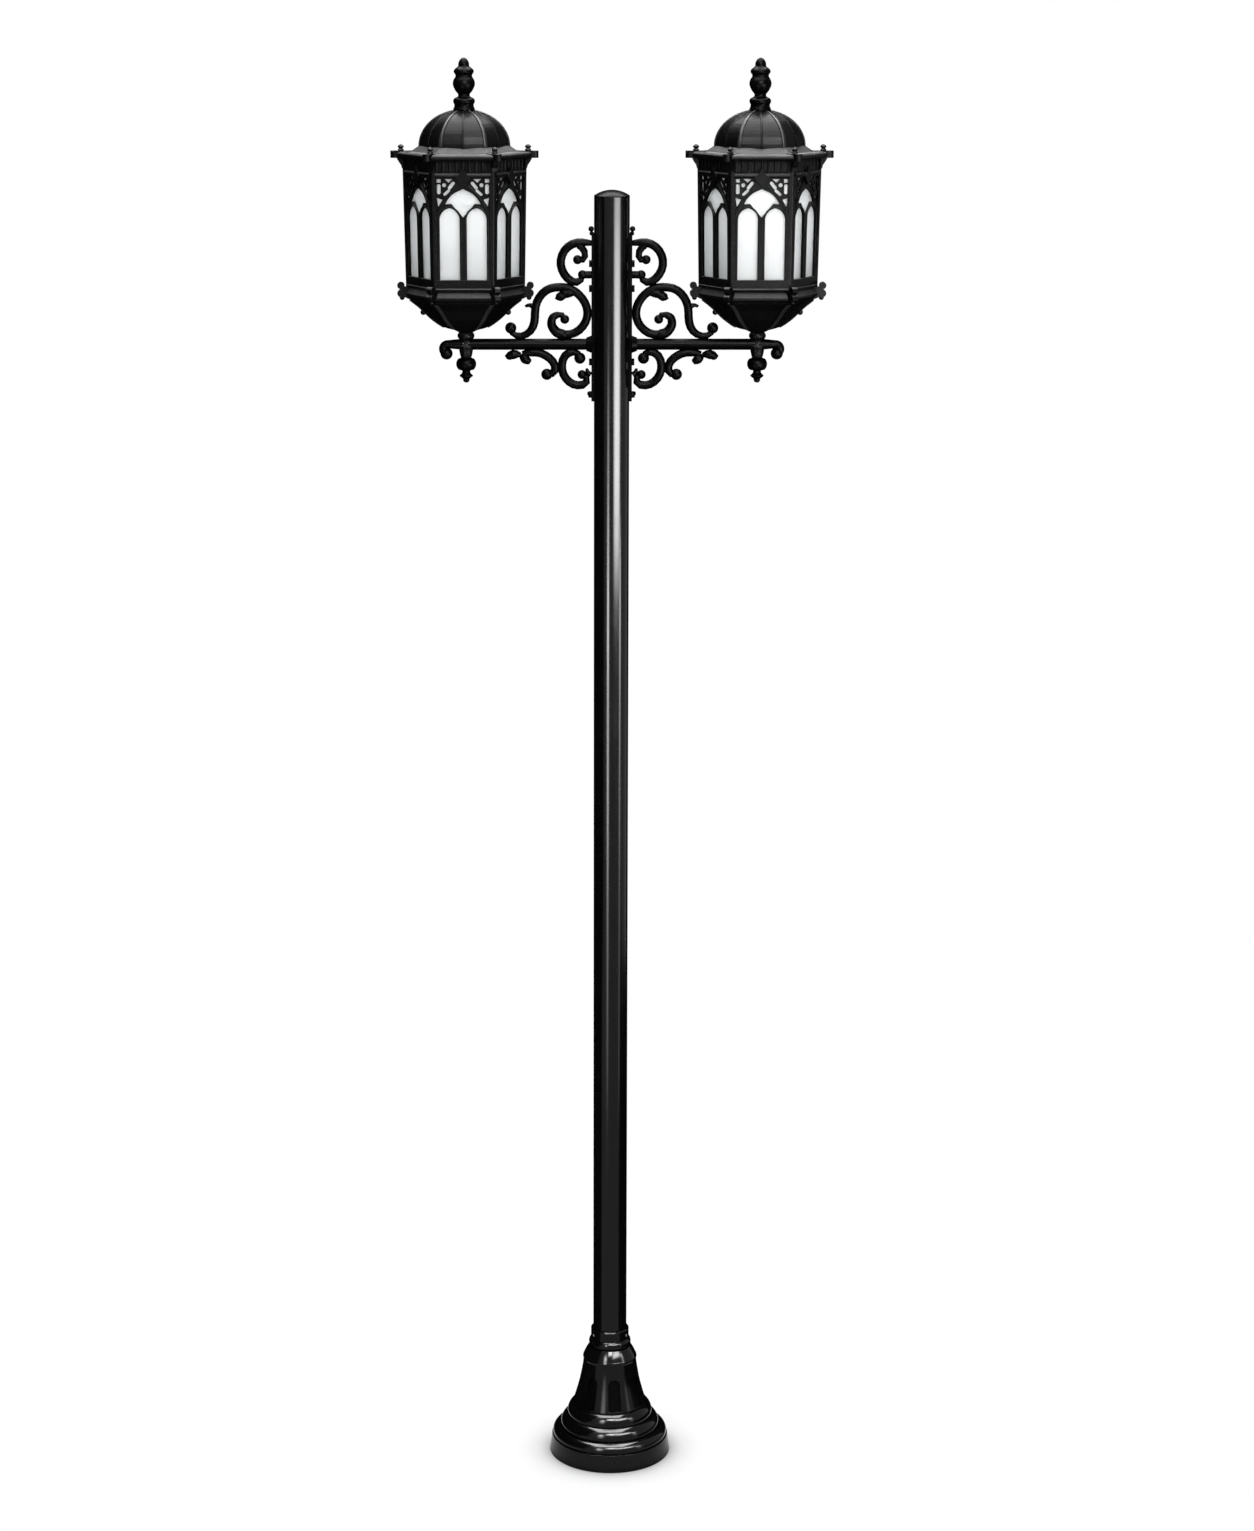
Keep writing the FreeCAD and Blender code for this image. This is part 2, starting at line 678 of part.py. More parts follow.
def pole_room():
    """Where the pole stands behind a bracket, for what is seated against it."""
    return cylinder(bar_seat_radius, bar_below + bar_above + 2 * overrun, at(0, 0, -bar_below - overrun))


def bar_blank():
    """The upright bar against the pole, without its knob and boss."""
    low = at(0, -bar_width / 2, -bar_below)
    high = at(bar_face, bar_width / 2, bar_above)
    return block(low, high).cut(pole_room())


def boss():
    """The cone on the bar that holds the arm."""
    return Part.makeCone(boss_radius, boss_nose_radius, boss_length, X_AXIS * bar_face, X_AXIS)


def back_bar():
    knob_middle = at(bar_seat_radius + bar_knob_radius, 0, bar_above + bar_knob_rise)
    knob = Part.makeSphere(bar_knob_radius, knob_middle)
    bead = Part.makeSphere(bar_bead_radius, at(bar_seat_radius + bar_bead_radius, 0, bar_above))
    body = fused([bar_blank(), knob, bead, boss()])
    holes = [cylinder(pole_wire_hole / 2, bar_face + overrun, ORIGIN, X_AXIS),
             cylinder(arm_radius + seat_gap, lantern_x, X_AXIS * arm_start, X_AXIS)]
    holes += [cylinder(bolt_hole_radius, bar_face + overrun, Z_AXIS * place, X_AXIS) for place in bolt_places]
    return body.cut(holes)


def bracket_bolts():
    bolts = []
    start = pole_bore_radius - bolt_inside
    for place in bolt_places:
        shank = cylinder(bolt_radius, bar_face - start, at(start, 0, place), X_AXIS)
        head = hex_bar(bolt_head_across, bolt_head_height, at(bar_face, 0, place), X_AXIS)
        bolts.append(fused([shank, head]))
    return bolts


def arm_tube():
    length = lantern_x - nipple_hole_radius - arm_start
    tube = cylinder(arm_radius, length, X_AXIS * arm_start, X_AXIS)
    bore_start = X_AXIS * (arm_start - overrun)
    return tube.cut(cylinder(arm_bore_radius, length + 2 * overrun, bore_start, X_AXIS))


def arm_scroll():
    start = lantern_x + nipple_hole_radius
    bend = X_AXIS * (lantern_x + roll_offset)
    neck = Part.makeCone(arm_radius, roll_tube_radius, bend.x - start, X_AXIS * start, X_AXIS)
    centre = bend - Z_AXIS * roll_radius
    circle = Part.Face(Part.Wire(Part.Circle(bend, X_AXIS, roll_tube_radius).toShape()))
    roll = circle.revolve(centre, Y_AXIS, roll_turn)
    turn = math.radians(roll_turn)
    end = centre + at(math.sin(turn), 0, math.cos(turn)) * roll_radius
    return fused([neck, roll, Part.makeSphere(roll_ball_radius, end)])


def scroll_seats():
    """What the scrolls are welded to: the bar, the boss and the arm."""
    return [bar_blank(), boss(), cylinder(arm_radius, lantern_x, X_AXIS * bar_face, X_AXIS)]


def scroll(shares, balls, neighbours=(), extras=()):
    """A scroll with balls at some of its ends, cut to its seats and to the scrolls that it touches."""
    ends = [Part.makeSphere(radius, bracket_point(share)) for share, radius in balls]
    body = fused([round_bar(shares, scroll_swell)] + ends + list(extras))
    return body.cut(scroll_seats() + list(neighbours))


def main_scroll():
    balls = [(main_scroll_shares[0], ball_radius), (main_scroll_shares[-1], small_ball_radius)]
    return scroll(main_scroll_shares, balls)


def upper_scroll(neighbour):
    end = bracket_point(upper_scroll_shares[-1])
    stub = cylinder(curl_radius, end.x, at(0, 0, end.z), X_AXIS)
    balls = [(upper_scroll_shares[-1], small_ball_radius), (upper_curl_shares[-1], small_ball_radius)]
    extras = [round_bar(upper_curl_shares, curl_taper), stub]
    return scroll(upper_scroll_shares, balls, [neighbour, pole_room()], extras)


def lower_inner_scroll():
    balls = [(inner_scroll_shares[0], ball_radius), (inner_scroll_shares[-1], small_ball_radius)]
    return scroll(inner_scroll_shares, balls)


def lower_outer_scroll(neighbour):
    return scroll(outer_scroll_shares, [(outer_scroll_shares[-1], ball_radius)], [neighbour])


def leaf_ornaments(neighbours):
    full = (crossing_leaf_shares, fleur_shares, lower_leaf_shares)
    slim = (main_spur_shares, foot_spur_shares, inner_tip_shares)
    bars = [round_bar(shares, leaf_swell) for shares in full]
    bars += [round_bar(shares, spur_taper) for shares in slim]
    seats = scroll_seats() + neighbours + [pole_room()]
    leaves = []
    for bar in bars:
        rest = bar.cut(seats + leaves)
        leaves.append(max(rest.Solids, key=lambda solid: solid.Volume))
    return leaves


# Under the lantern. Each lantern is drawn round Z with the arm at z = 0, and moved to its place.

def arm_fitting():
    body = smooth_lathe(fitting_shares, fitting_radius, fitting_above + fitting_below, fitting_bottom)
    across = cylinder(arm_radius + seat_gap, 2 * fitting_radius, X_AXIS * -fitting_radius, X_AXIS)
    upright = cylinder(nipple_hole_radius, bowl_height, at(0, 0, fitting_bottom - overrun))
    return body.cut([across, upright])


def drop_finial():
    body = smooth_lathe(drop_shares, drop_radius, drop_height, fitting_bottom - drop_height)
    hole_bottom = at(0, 0, fitting_bottom - nipple_into_drop)
    return body.cut(cylinder(nipple_hole_radius, nipple_into_drop + overrun, hole_bottom))


def stem_nipple():
    start = fitting_bottom - nipple_into_drop + seat_gap
    length = holder_bottom - start
    body = cylinder(nipple_radius, length, at(0, 0, start))
    bore = cylinder(nipple_bore / 2, length, at(0, 0, fitting_bottom))
    side_hole = cylinder(nipple_bore / 2, nipple_diameter, X_AXIS * -nipple_radius, X_AXIS)
    return body.cut([bore, side_hole])


def bowl_stations(inset=0.0, rise=0.0):
    """Corner radius and height of the bowl, drawn in and raised."""
    return [(bowl_radius * across - inset / hex_flat, fitting_top + bowl_height * up + rise)
            for up, across in bowl_shares]


def bowl_corner(share):
    """Corner radius of the bowl at a share of its height."""
    for (low, narrow), (high, wide) in zip(bowl_shares, bowl_shares[1:]):
        if low <= share <= high:
            return bowl_radius * (narrow + (wide - narrow) * (share - low) / (high - low))
    return bowl_radius


def bowl():
    hollow = bowl_stations(bowl_wall, bowl_wall)[1:-1]
    hollow.append((bowl_radius - bowl_wall / hex_flat, bowl_top + overrun))
    nipple_hole = cylinder(nipple_hole_radius, bowl_height, at(0, 0, fitting_top - overrun))
    return hex_stack(bowl_stations()).cut([hex_stack(hollow), nipple_hole])


def bowl_knobs():
    outside = hex_stack(bowl_stations())
    place = at(bowl_corner(bowl_knob_share) + bowl_knob_stand, 0, fitting_top + bowl_height * bowl_knob_share)
    knob = Part.makeSphere(bowl_knob_radius, place).cut(outside)
    return [knob, turned(knob, 180)]


def stem_nut():
    floor = fitting_top + bowl_height * bowl_floor_share + bowl_wall
    nut = hex_bar(nut_across, nut_height, at(0, 0, floor))
    return nut.cut(cylinder(nipple_hole_radius, 2 * nut_height, at(0, 0, floor - overrun)))


def radial_fin(outline, width):
    """A fin on +X, from reach and height pairs."""
    points = [at(reach, -width / 2, height) for reach, height in outline]
    return prism(points, Y_AXIS * width)


def ledge_ear():
    """The ear at one corner of the ledge."""
    reach = ledge_radius + ear_proud
    bottom = bowl_top + seat_gap
    neck = reach - ear_ball_radius
    fin = radial_fin(((ledge_opening_radius, bottom), (bowl_radius, bottom),
                      (neck, bowl_top + ear_ball_radius), (neck, ledge_top),
                      (ledge_opening_radius, ledge_top)), ear_width)
    ball_start = at(neck, -ear_width / 2, ledge_top + ear_ball_rise)
    ear_ball = cylinder(ear_ball_radius, ear_width, ball_start, Y_AXIS)
    lobe_middle = at(reach - ear_lobe_radius, -ear_width / 2, bowl_top + ear_lobe_rise)
    lobe = cylinder(ear_lobe_radius, ear_width, lobe_middle, Y_AXIS)
    drop_middle = at(ledge_radius + ear_drop_radius, 0, bowl_top + ear_drop_radius / 2)
    drop = Part.makeSphere(ear_drop_radius, drop_middle)
    return fused([fin, ear_ball, lobe, drop])


def ledge():
    low, high = [bowl_top + ledge_height * share for share in ledge_edge_shares]
    ring = hex_stack(((bowl_radius, bowl_top), (ledge_radius, low), (ledge_radius, high),
                      (cage_radius - ledge_top_inset, ledge_top)))
    hollow = hex_stack(((ledge_opening_radius, bowl_top - overrun), (ledge_opening_radius, cage_top)))
    return fused([ring] + on_six(ledge_ear())).cut(hollow)


# Cage

def corner_outline(radius, height):
    """Plan of a corner post at one height, as a closed wire."""
    leg = radius / 2 - panel_half_width - flat_gap
    near = at(radius - leg / 2, leg * hex_flat, height)
    far = near - at(hex_flat, math.sin(corner_slope), 0) * post_depth
    return loop([at(radius, 0, height), near, far, at(far.x, -far.y, height), at(near.x, -near.y, height)])


def on_corner(vertex):
    """Whether a vertex lies on the outer corner of the post that stands on +X."""
    return vertex.X > cage_radius - seat_gap and abs(vertex.Y) < seat_gap


def corner_post():
    ends = [corner_outline(cage_radius, ledge_top), corner_outline(cage_top_radius, cage_top)]
    body = Part.makeLoft(ends, True, True)
    outer_edge = [edge for edge in body.Edges if all(on_corner(vertex) for vertex in edge.Vertexes)]
    body = body.makeFillet(post_rounding, outer_edge)
    inner = cage_top_radius - post_rounding
    foot = cage_top - corbel_height
    curve = [(cage_top_radius + corbel_reach * out, foot + corbel_height * up) for out, up in corbel_shares]
    outline = [(inner, foot)] + curve + [(inner, cage_top)]
    body = fused([body, radial_fin(outline, corbel_width)])
    return body.cut(cylinder(knob_screw_radius + running_gap, knob_screw_length + overrun,
                             at(knob_place, 0, cage_top - knob_screw_length)))


def panel_point(share, depth=0.0):
    """A point of the tracery from its shares. The panel's face is at depth zero, and inward is positive."""
    return at(panel_half_width * share[0], depth, top_rail_low * share[1])


def cutter(edges, depth=panel_thickness + overrun):
    """A tool with this outline, drawn on the plane one overrun in front of the panel."""
    return Part.Face(Part.Wire(edges)).extrude(Y_AXIS * (depth + overrun))


def cutter_through(shares, depth=panel_thickness + overrun):
    """A tool with straight sides, from a table of shares."""
    return cutter(loop([panel_point(share, -overrun) for share in shares]).Edges, depth)


def lancet_tool():
    """The pointed opening of one light, left of the mullion."""
    arc_radius = (lancet_rise ** 2 + lancet_half_width ** 2) / (2 * lancet_half_width)
    half_turn = math.asin(lancet_rise / arc_radius) / 2
    outer, inner = -lancet_middle - lancet_half_width, -lancet_middle + lancet_half_width
    sag, rise = arc_radius * (1 - math.cos(half_turn)), arc_radius * math.sin(half_turn)
    top = at(-lancet_middle, -overrun, lancet_spring + lancet_rise)
    corners = [at(outer, -overrun, lancet_spring), at(outer, -overrun, sill_height),
               at(inner, -overrun, sill_height), at(inner, -overrun, lancet_spring)]
    edges = [edge_through(corners[k:k + 2]) for k in range(3)]
    edges.append(edge_through([corners[3], at(inner - sag, -overrun, lancet_spring + rise), top]))
    edges.append(edge_through([top, at(outer + sag, -overrun, lancet_spring + rise), corners[0]]))
    return cutter(edges)


def lens_tool():
    """The left half of the opening between the two lights and the great arch."""
    foot = [panel_point(share, -overrun) for share in lens_shares]
    arc = [foot[-1]] + [panel_point(share, -overrun) for share in lens_arc_shares]
    top = panel_point((0.0, lens_top_share), -overrun)
    edges = [edge_through(foot[k:k + 2]) for k in range(len(foot) - 1)]
    edges += [edge_through(arc), edge_through([arc[-1], top]), edge_through([top, foot[0]])]
    return cutter(edges)


def oval_tool(shares, turn):
    """A slot with round ends in a spandrel."""
    across, up, half_length, half_width = shares
    radius = panel_half_width * half_width
    reach = panel_half_width * half_length - radius
    depth = panel_thickness + 2 * overrun
    tool = cylinder(radius, depth, at(-reach, -overrun, 0), Y_AXIS)
    if reach > 0:
        bar = block(at(-reach, -overrun, -radius), at(reach, depth - overrun, radius))
        tool = tool.fuse([bar, cylinder(radius, depth, at(reach, -overrun, 0), Y_AXIS)])
    return moved(turned(tool, -turn, Y_AXIS), panel_point((across, up)))


def tracery_tools():
    """Every opening of a window panel, and the recess of its spandrels."""
    tools = [lancet_tool(), lens_tool(), cutter_through(spandrel_shares, spandrel_recess)]
    tools += [cutter_through(shares) for shares in (corner_hole_shares, rail_hole_shares, post_hole_shares)]
    tools += [oval_tool(shares, turn) for shares, turn in zip(oval_hole_shares, oval_hole_turns)]
    return tools + [mirrored(tool) for tool in tools]


def leaf_boss():
    """The leaf that hangs from the rail over the arch."""
    left = [panel_point(share, -boss_proud) for share in boss_shares]
    right = [at(-point.x, point.y, point.z) for point in left[-2:0:-1]]
    return prism(left + right, Y_AXIS * (boss_proud + panel_thickness))


def panel_foot():
    """The flange at the panel's foot, mitred to its neighbours."""
    half = panel_half_width
    reach = (panel_foot_plane - panel_foot_depth) * math.tan(corner_slope) - flat_gap
    outline = (at(-half, 0, 0), at(half, 0, 0), at(half, panel_thickness, 0), at(reach, panel_foot_depth, 0),
               at(-reach, panel_foot_depth, 0), at(-half, panel_thickness, 0))
    return prism(outline, Z_AXIS * panel_foot_height)


def panel_trim():
    """The sill's bead, the top rail, the leaf and the reeds of the frieze, clear of the glass behind them."""
    half = panel_half_width
    bead_radius = sill_bead_height / 2
    rail_radius = top_rail_height / 2
    bead_start = at(-half, bead_radius - sill_bead_proud, bead_radius)
    rail_start = at(-half, rail_radius - top_rail_proud, top_rail_low + rail_radius)
    pieces = [cylinder(bead_radius, 2 * half, bead_start, X_AXIS),
              cylinder(rail_radius, 2 * half, rail_start, X_AXIS), leaf_boss()]
    spacing = 2 * (half - reed_radius) / (reed_count - 1)
    for k in range(reed_count):
        foot = at(reed_radius - half + spacing * k, frieze_recess + reed_radius / 2, top_rail_top)
        pieces.append(cylinder(reed_radius, frieze_height, foot))
    behind = block(at(-half, panel_thickness, 0), at(half, 2 * panel_thickness, cage_height))
    return [piece.cut(behind) for piece in pieces]


def window_panel():
    """One cast window panel, in the plane y = 0 and facing -Y, with its foot at z = 0."""
    half = panel_half_width
    plate = block(at(-half, 0, 0), at(half, panel_thickness, cage_height))
    window = block(at(window_edge - half, -overrun, sill_height),
                   at(half - window_edge, tracery_recess, top_rail_low))
    frieze = block(at(-half, -overrun, top_rail_top), at(half, frieze_recess, cage_height + overrun))
    plate = plate.cut(tracery_tools() + [window, frieze])
    return fused([plate, panel_foot()] + panel_trim())


def to_cage(piece):
    """Stands a piece of the panel's own frame in the front of the cage, leaning out with it."""
    return moved(turned(piece, panel_lean, X_AXIS), at(0, -panel_foot_plane, ledge_top))


def glass_pane():
    low = at(-glass_half_width, glass_front, glass_bottom)
    return block(low, at(glass_half_width, glass_back, glass_top))


def glass_clips():
    """Two clips at the top edge of a pane and two at the bottom."""
    front = glass_back + flat_gap
    back = front + clip_thickness
    clips = []
    for edge, way in ((glass_bottom, -1), (glass_top, 1)):
        inner, outer = edge - way * clip_lap, edge + way * clip_foot
        foot = outer - way * clip_thickness
        side = [at(0, front, inner), at(0, back, inner), at(0, back, outer), at(0, panel_thickness, outer),
                at(0, panel_thickness, foot), at(0, front, foot)]
        clip = moved(prism(side, X_AXIS * clip_width), X_AXIS * (-(clip_spread + clip_width) / 2))
        clips += [clip, moved(clip, X_AXIS * clip_spread)]
    return clips


def lamp_holder():
    shelf = holder_bottom + holder_collar_height
    body = lathe(straight([(holder_collar_radius, holder_bottom), (holder_collar_radius, shelf),
                           (holder_radius, shelf), (holder_radius, holder_top)]))
    socket_floor = at(0, 0, holder_top - holder_socket_depth)
    socket = cylinder(bulb_cap_radius + running_gap, holder_height, socket_floor)
    return body.cut([socket, cylinder(nipple_bore / 2, holder_height, at(0, 0, holder_bottom - overrun))])


def bulb():
    cap = cylinder(bulb_cap_radius, bulb_height * bulb_shares[0][0], at(0, 0, bulb_bottom))
    return fused([cap, smooth_lathe(bulb_shares, bulb_radius, bulb_height, bulb_bottom)])


# Roof

def roof_eave():
    middle = eave_bottom + eave_thickness / 2
    plate = hex_stack(((eave_radius, eave_bottom), (eave_radius, eave_top)))
    roll_start = at(-eave_radius / 2, -eave_radius * hex_flat, middle)
    roll = cylinder(eave_roll_radius, eave_radius, roll_start, X_AXIS)
    corner = Part.makeSphere(eave_roll_radius, at(eave_radius, 0, middle))
    nose = at(cage_top_radius + lug_overhang - lug_width / 2, 0, eave_bottom)
    lug_top = eave_bottom + lug_height
    lug = block(at(skirt_radius, -lug_width / 2, eave_bottom), at(nose.x, lug_width / 2, lug_top))
    ear = fused([lug, cylinder(lug_width / 2, lug_height, nose)])
    opening = cylinder(dome_radius - eave_opening_inset, cage_height, at(0, 0, cage_top - overrun))
    screw_hole = cylinder(knob_screw_radius + seat_gap, cage_height, at(knob_place, 0, cage_top - overrun))
    body = fused([plate] + on_six(roll) + on_six(corner) + on_six(ear))
    return body.cut([opening] + on_six(screw_hole))


def dome_outline(rib_radius, height):
    """Plan of the dome at one height: ribs at the corners, creases between."""
    points = []
    for step in range(12):
        turn = math.radians(30 * step)
        radius = rib_radius * (dome_crease_share if step % 2 else 1)
        points.append(at(radius * math.cos(turn), radius * math.sin(turn), height))
    return loop(points)


def dome_form(inset, foot):
    """The dome's outside, or the hollow that its wall leaves, standing on a straight foot."""
    sections = [dome_outline(dome_radius - inset, foot)] if foot < skirt_top else []
    for step in range(dome_stations + 1):
        rise = math.acos(dome_top_share) * step / dome_stations
        height = (dome_height - inset) * math.sin(rise) / math.sin(math.acos(dome_top_share))
        sections.append(dome_outline(dome_radius * math.cos(rise) - inset, skirt_top + height))
    return Part.makeLoft(sections, True, True)


def roof_dome():
    skirt = hex_stack(((skirt_radius, eave_top), (dome_radius + skirt_lip, skirt_top)))
    stud_hole = cylinder(stud_radius + seat_gap, dome_height, at(0, 0, dome_top - dome_height / 2))
    return skirt.fuse(dome_form(0, skirt_top)).cut([dome_form(dome_wall, eave_top - overrun), stud_hole])


def roof_finial():
    body = smooth_lathe(finial_shares, finial_radius, finial_height, dome_top)
    return fused([body, cylinder(stud_radius, stud_length + overrun, at(0, 0, dome_top - stud_length))])


def finial_nut():
    bottom = dome_top - dome_wall - stud_nut_height
    nut = hex_bar(stud_nut_across, stud_nut_height, at(0, 0, bottom))
    return nut.cut(cylinder(stud_radius + seat_gap, dome_height, at(0, 0, bottom - overrun)))


def roof_knob():
    seat = eave_bottom + lug_height
    head = smooth_lathe(knob_shares, knob_radius, knob_height, seat)
    tip = at(0, 0, eave_bottom - knob_screw_length)
    shank = cylinder(knob_screw_radius, knob_screw_length + lug_height, tip)
    return moved(fused([head, shank]), X_AXIS * knob_place)


# Every sub-part

def export_post():
    export("pole_tube", pole_tube())
    export("pole_cap", pole_cap())
    export("base_flange", base_flange())
    export("earth_screw", earth_screw())
    export("base_cover", base_cover())
    export_group("cover_grub_screws", cover_grub_screws())


def export_brackets():
    rise = Z_AXIS * arm_height
    main = main_scroll()
    inner = lower_inner_scroll()
    upper = upper_scroll(main)
    outer = lower_outer_scroll(inner)
    single = {"back_bar": back_bar(), "arm_tube": arm_tube(), "arm_scroll": arm_scroll(), "main_scroll": main,
              "upper_scroll": upper, "lower_inner_scroll": inner, "lower_outer_scroll": outer}
    groups = {"bracket_bolts": bracket_bolts(), "leaf_ornaments": leaf_ornaments([main, inner, upper, outer])}
    for name, shape in single.items():
        export("right_" + name, moved(shape, rise))
        export("left_" + name, moved(mirrored(shape), rise))
    for name, solids in groups.items():
        export_group("right_" + name, [moved(solid, rise) for solid in solids])
        export_group("left_" + name, [moved(mirrored(solid), rise) for solid in solids])


def export_lanterns():
    single = {"arm_fitting": arm_fitting(), "drop_finial": drop_finial(), "stem_nipple": stem_nipple(),
              "stem_nut": stem_nut(), "bowl": bowl(), "ledge": ledge(), "lamp_holder": lamp_holder(),
              "bulb": bulb(),
              "roof_eave": roof_eave(), "roof_dome": roof_dome(), "roof_finial": roof_finial(),
              "finial_nut": finial_nut()}
    clips = [clip for group in glass_clips() for clip in on_six(to_cage(group))]
    groups = {"bowl_knobs": bowl_knobs(), "corner_posts": on_six(corner_post()),
              "window_panels": on_six(to_cage(window_panel())), "glass_panes": on_six(to_cage(glass_pane())),
              "glass_clips": clips, "roof_knobs": on_six(roof_knob())}
    for side, way in sides:
        shift = X_AXIS * way * lantern_x + Z_AXIS * arm_height
        for name, shape in single.items():
            export(side + "_" + name, moved(shape, shift))
        for name, solids in groups.items():
            export_group(side + "_" + name, [moved(solid, shift) for solid in solids])


export_post()
export_brackets()
export_lanterns()
print("height", round(arm_height + dome_top + finial_height, 1))
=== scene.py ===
import json
import math

import bmesh
import bpy
from mathutils import Matrix, Vector


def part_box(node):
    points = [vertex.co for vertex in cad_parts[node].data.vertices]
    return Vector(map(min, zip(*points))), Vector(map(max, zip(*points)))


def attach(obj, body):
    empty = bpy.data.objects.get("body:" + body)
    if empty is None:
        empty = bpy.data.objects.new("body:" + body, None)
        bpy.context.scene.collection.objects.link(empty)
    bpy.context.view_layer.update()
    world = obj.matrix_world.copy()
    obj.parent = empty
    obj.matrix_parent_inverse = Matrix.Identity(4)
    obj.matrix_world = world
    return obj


# Looks of a garden lamp post with two hexagonal lanterns.
# Metres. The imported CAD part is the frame, and every piece here rides on one of its bodies.

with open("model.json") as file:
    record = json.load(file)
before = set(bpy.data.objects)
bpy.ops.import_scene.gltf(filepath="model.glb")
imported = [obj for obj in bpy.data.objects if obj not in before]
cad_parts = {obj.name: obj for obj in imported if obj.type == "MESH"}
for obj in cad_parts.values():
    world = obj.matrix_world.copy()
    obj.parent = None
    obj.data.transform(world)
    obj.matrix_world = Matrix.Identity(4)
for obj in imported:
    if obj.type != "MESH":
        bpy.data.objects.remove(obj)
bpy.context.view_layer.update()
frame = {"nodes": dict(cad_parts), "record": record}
nodes = frame["nodes"]

X = Vector((1, 0, 0))
Y = Vector((0, 1, 0))
SIDES = (("left", -1), ("right", 1))

# Sizes that the trim shares with the frame
LANTERN_X = 0.313
LANTERN_SIDES = 6
HEX_FLAT = math.cos(math.radians(30))
LEDGE_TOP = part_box("right_corner_posts")[0].z
CAGE_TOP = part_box("right_corner_posts")[1].z
CAGE_RADIUS = 0.1279
CAGE_SPREAD = 0.0046
PANEL_HALF = CAGE_RADIUS / 2 - 0.0054
PANEL_PLANE = CAGE_RADIUS * HEX_FLAT
PANEL_LEAN = math.atan(CAGE_SPREAD * HEX_FLAT / (CAGE_TOP - LEDGE_TOP))
RAIL_LOW = 0.2351
TRACERY_RECESS = 0.0016
SILL_TOP = 0.0232
LANCET_SPRING = 0.14858
LANCET_RISE = 0.025
LANCET_HALF = 0.0209
LANCET_MIDDLE = 0.0284
DOME_RADIUS = 0.095
DOME_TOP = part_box("right_roof_dome")[1].z
DOME_HEIGHT = 0.074
DOME_FOOT = DOME_TOP - DOME_HEIGHT
DOME_TOP_SHARE = 0.2
CREASE_SHARE = 0.915
BOWL_RADIUS = 0.122
BOWL_SHARES = ((0.15, 0.39), (0.27, 0.5), (0.45, 0.635), (0.74, 0.81), (0.97, 0.98))
ARM_HEIGHT = sum(corner.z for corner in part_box("right_arm_tube")) / 2
BAR_FACE = 0.04355
BRACKET_REACH = 0.18

# Beads: width and rise, each at the start and at the end
DOME_RIB = ((0.0046, 0.0024), (0.0024, 0.0015))
DOME_CREASE = ((0.0026, 0.0015), (0.0018, 0.0011))
BOWL_RIB = ((0.0034, 0.0052), (0.0016, 0.0022))
LANCET_BEAD = ((0.0013, 0.0013), (0.0009, 0.0009))
ARCH_BEAD = ((0.0017, 0.0017), (0.0011, 0.0011))
BEAD_SINK = 0.0008
BOWL_RIB_SINK = 0.0015
RIB_STEPS = 18
RIB_END_SHARE = 0.985
CREASE_END_SHARE = 0.97
LANCET_MARGIN = 0.0028
LANCET_STEPS = 8
ARCH_SHARES = ((0.93, 0.675), (0.8, 0.738), (0.665, 0.796), (0.52, 0.847), (0.36, 0.895), (0.2, 0.932))

# Cast leaves round the scrolls: outward and upward shares of the bracket's reach, and the radius there
SHEATHS = (
    ((0.285, 0.115, 0.004), (0.3, 0.113, 0.0088), (0.345, 0.117, 0.0112), (0.417, 0.146, 0.0106),
     (0.473, 0.227, 0.0098), (0.464, 0.311, 0.0088), (0.41, 0.35, 0.0074)),
    ((0.25, 0.63, 0.005), (0.31, 0.597, 0.0078), (0.36, 0.572, 0.0098), (0.395, 0.55, 0.0084),
     (0.414, 0.536, 0.003)),
    ((1.022, -0.155, 0.003), (1.01, -0.15, 0.0062), (0.975, -0.14, 0.0086), (0.935, -0.124, 0.0056),
     (0.86, -0.122, 0.0064)),
    ((0.82, -0.15, 0.005), (0.775, -0.186, 0.0086), (0.74, -0.212, 0.0066), (0.73, -0.22, 0.003)),
    ((-0.012, -0.64, 0.003), (-0.006, -0.618, 0.0078), (0.016, -0.594, 0.0068), (0.046, -0.582, 0.003)),
)

# Finishes
SMOOTH_ANGLE = math.radians(34)
EDGE_RADIUS = 0.0007
HOLLOW_REACH = 0.03
# Colour of the painted light on up-facing faces
TOP_LIGHT_COLOUR = (0.1, 0.101, 0.099)
SHADOW_REACH = 0.15

# Flutes of the base cover
FLUTE_COUNT = 8
FLUTE_TURN = 8.2
FLUTE_HALF = 0.0135
FLUTE_FOOT = 0.1242
FLUTE_SPRING = 0.1824
# How much gloss the painted shade takes out of the flutes
FLUTE_SHADE_SHARE = 0.8

# Nodes with a smoother coat than their slot's
TURNED_PIECES = ("pole_cap", "left_roof_finial", "right_roof_finial", "left_drop_finial",
                 "right_drop_finial")

# Studio. Turns round the post are in degrees
FLOOR_RADIUS = 60.0
FLOOR_GLOW = 1.17
FLOOR_GLOW_SHARE = 0.75
SOFT_WORLD = 0.55
SHADOW_FADE = (0.35, 1.3)
CLOTH_DISTANCE = 4.0
CLOTH_HEIGHT = 7.0
CLOTH_LIFT = 0.002
CLOTH_GAP = 0.3
CLOTH_WALL_TURNS = range(128, 311, 13)
CLOTH_FLOOR_TURNS = range(60, 301, 10)
CEILING_HEIGHT = 6.0
CEILING_HALF = 2.2
CEILING_REACH = (-2.5, 2.8)
CEILING_STRENGTH = 46.0
STRIP_DISTANCE = 2.4
SKY_DISTANCE = 5.0

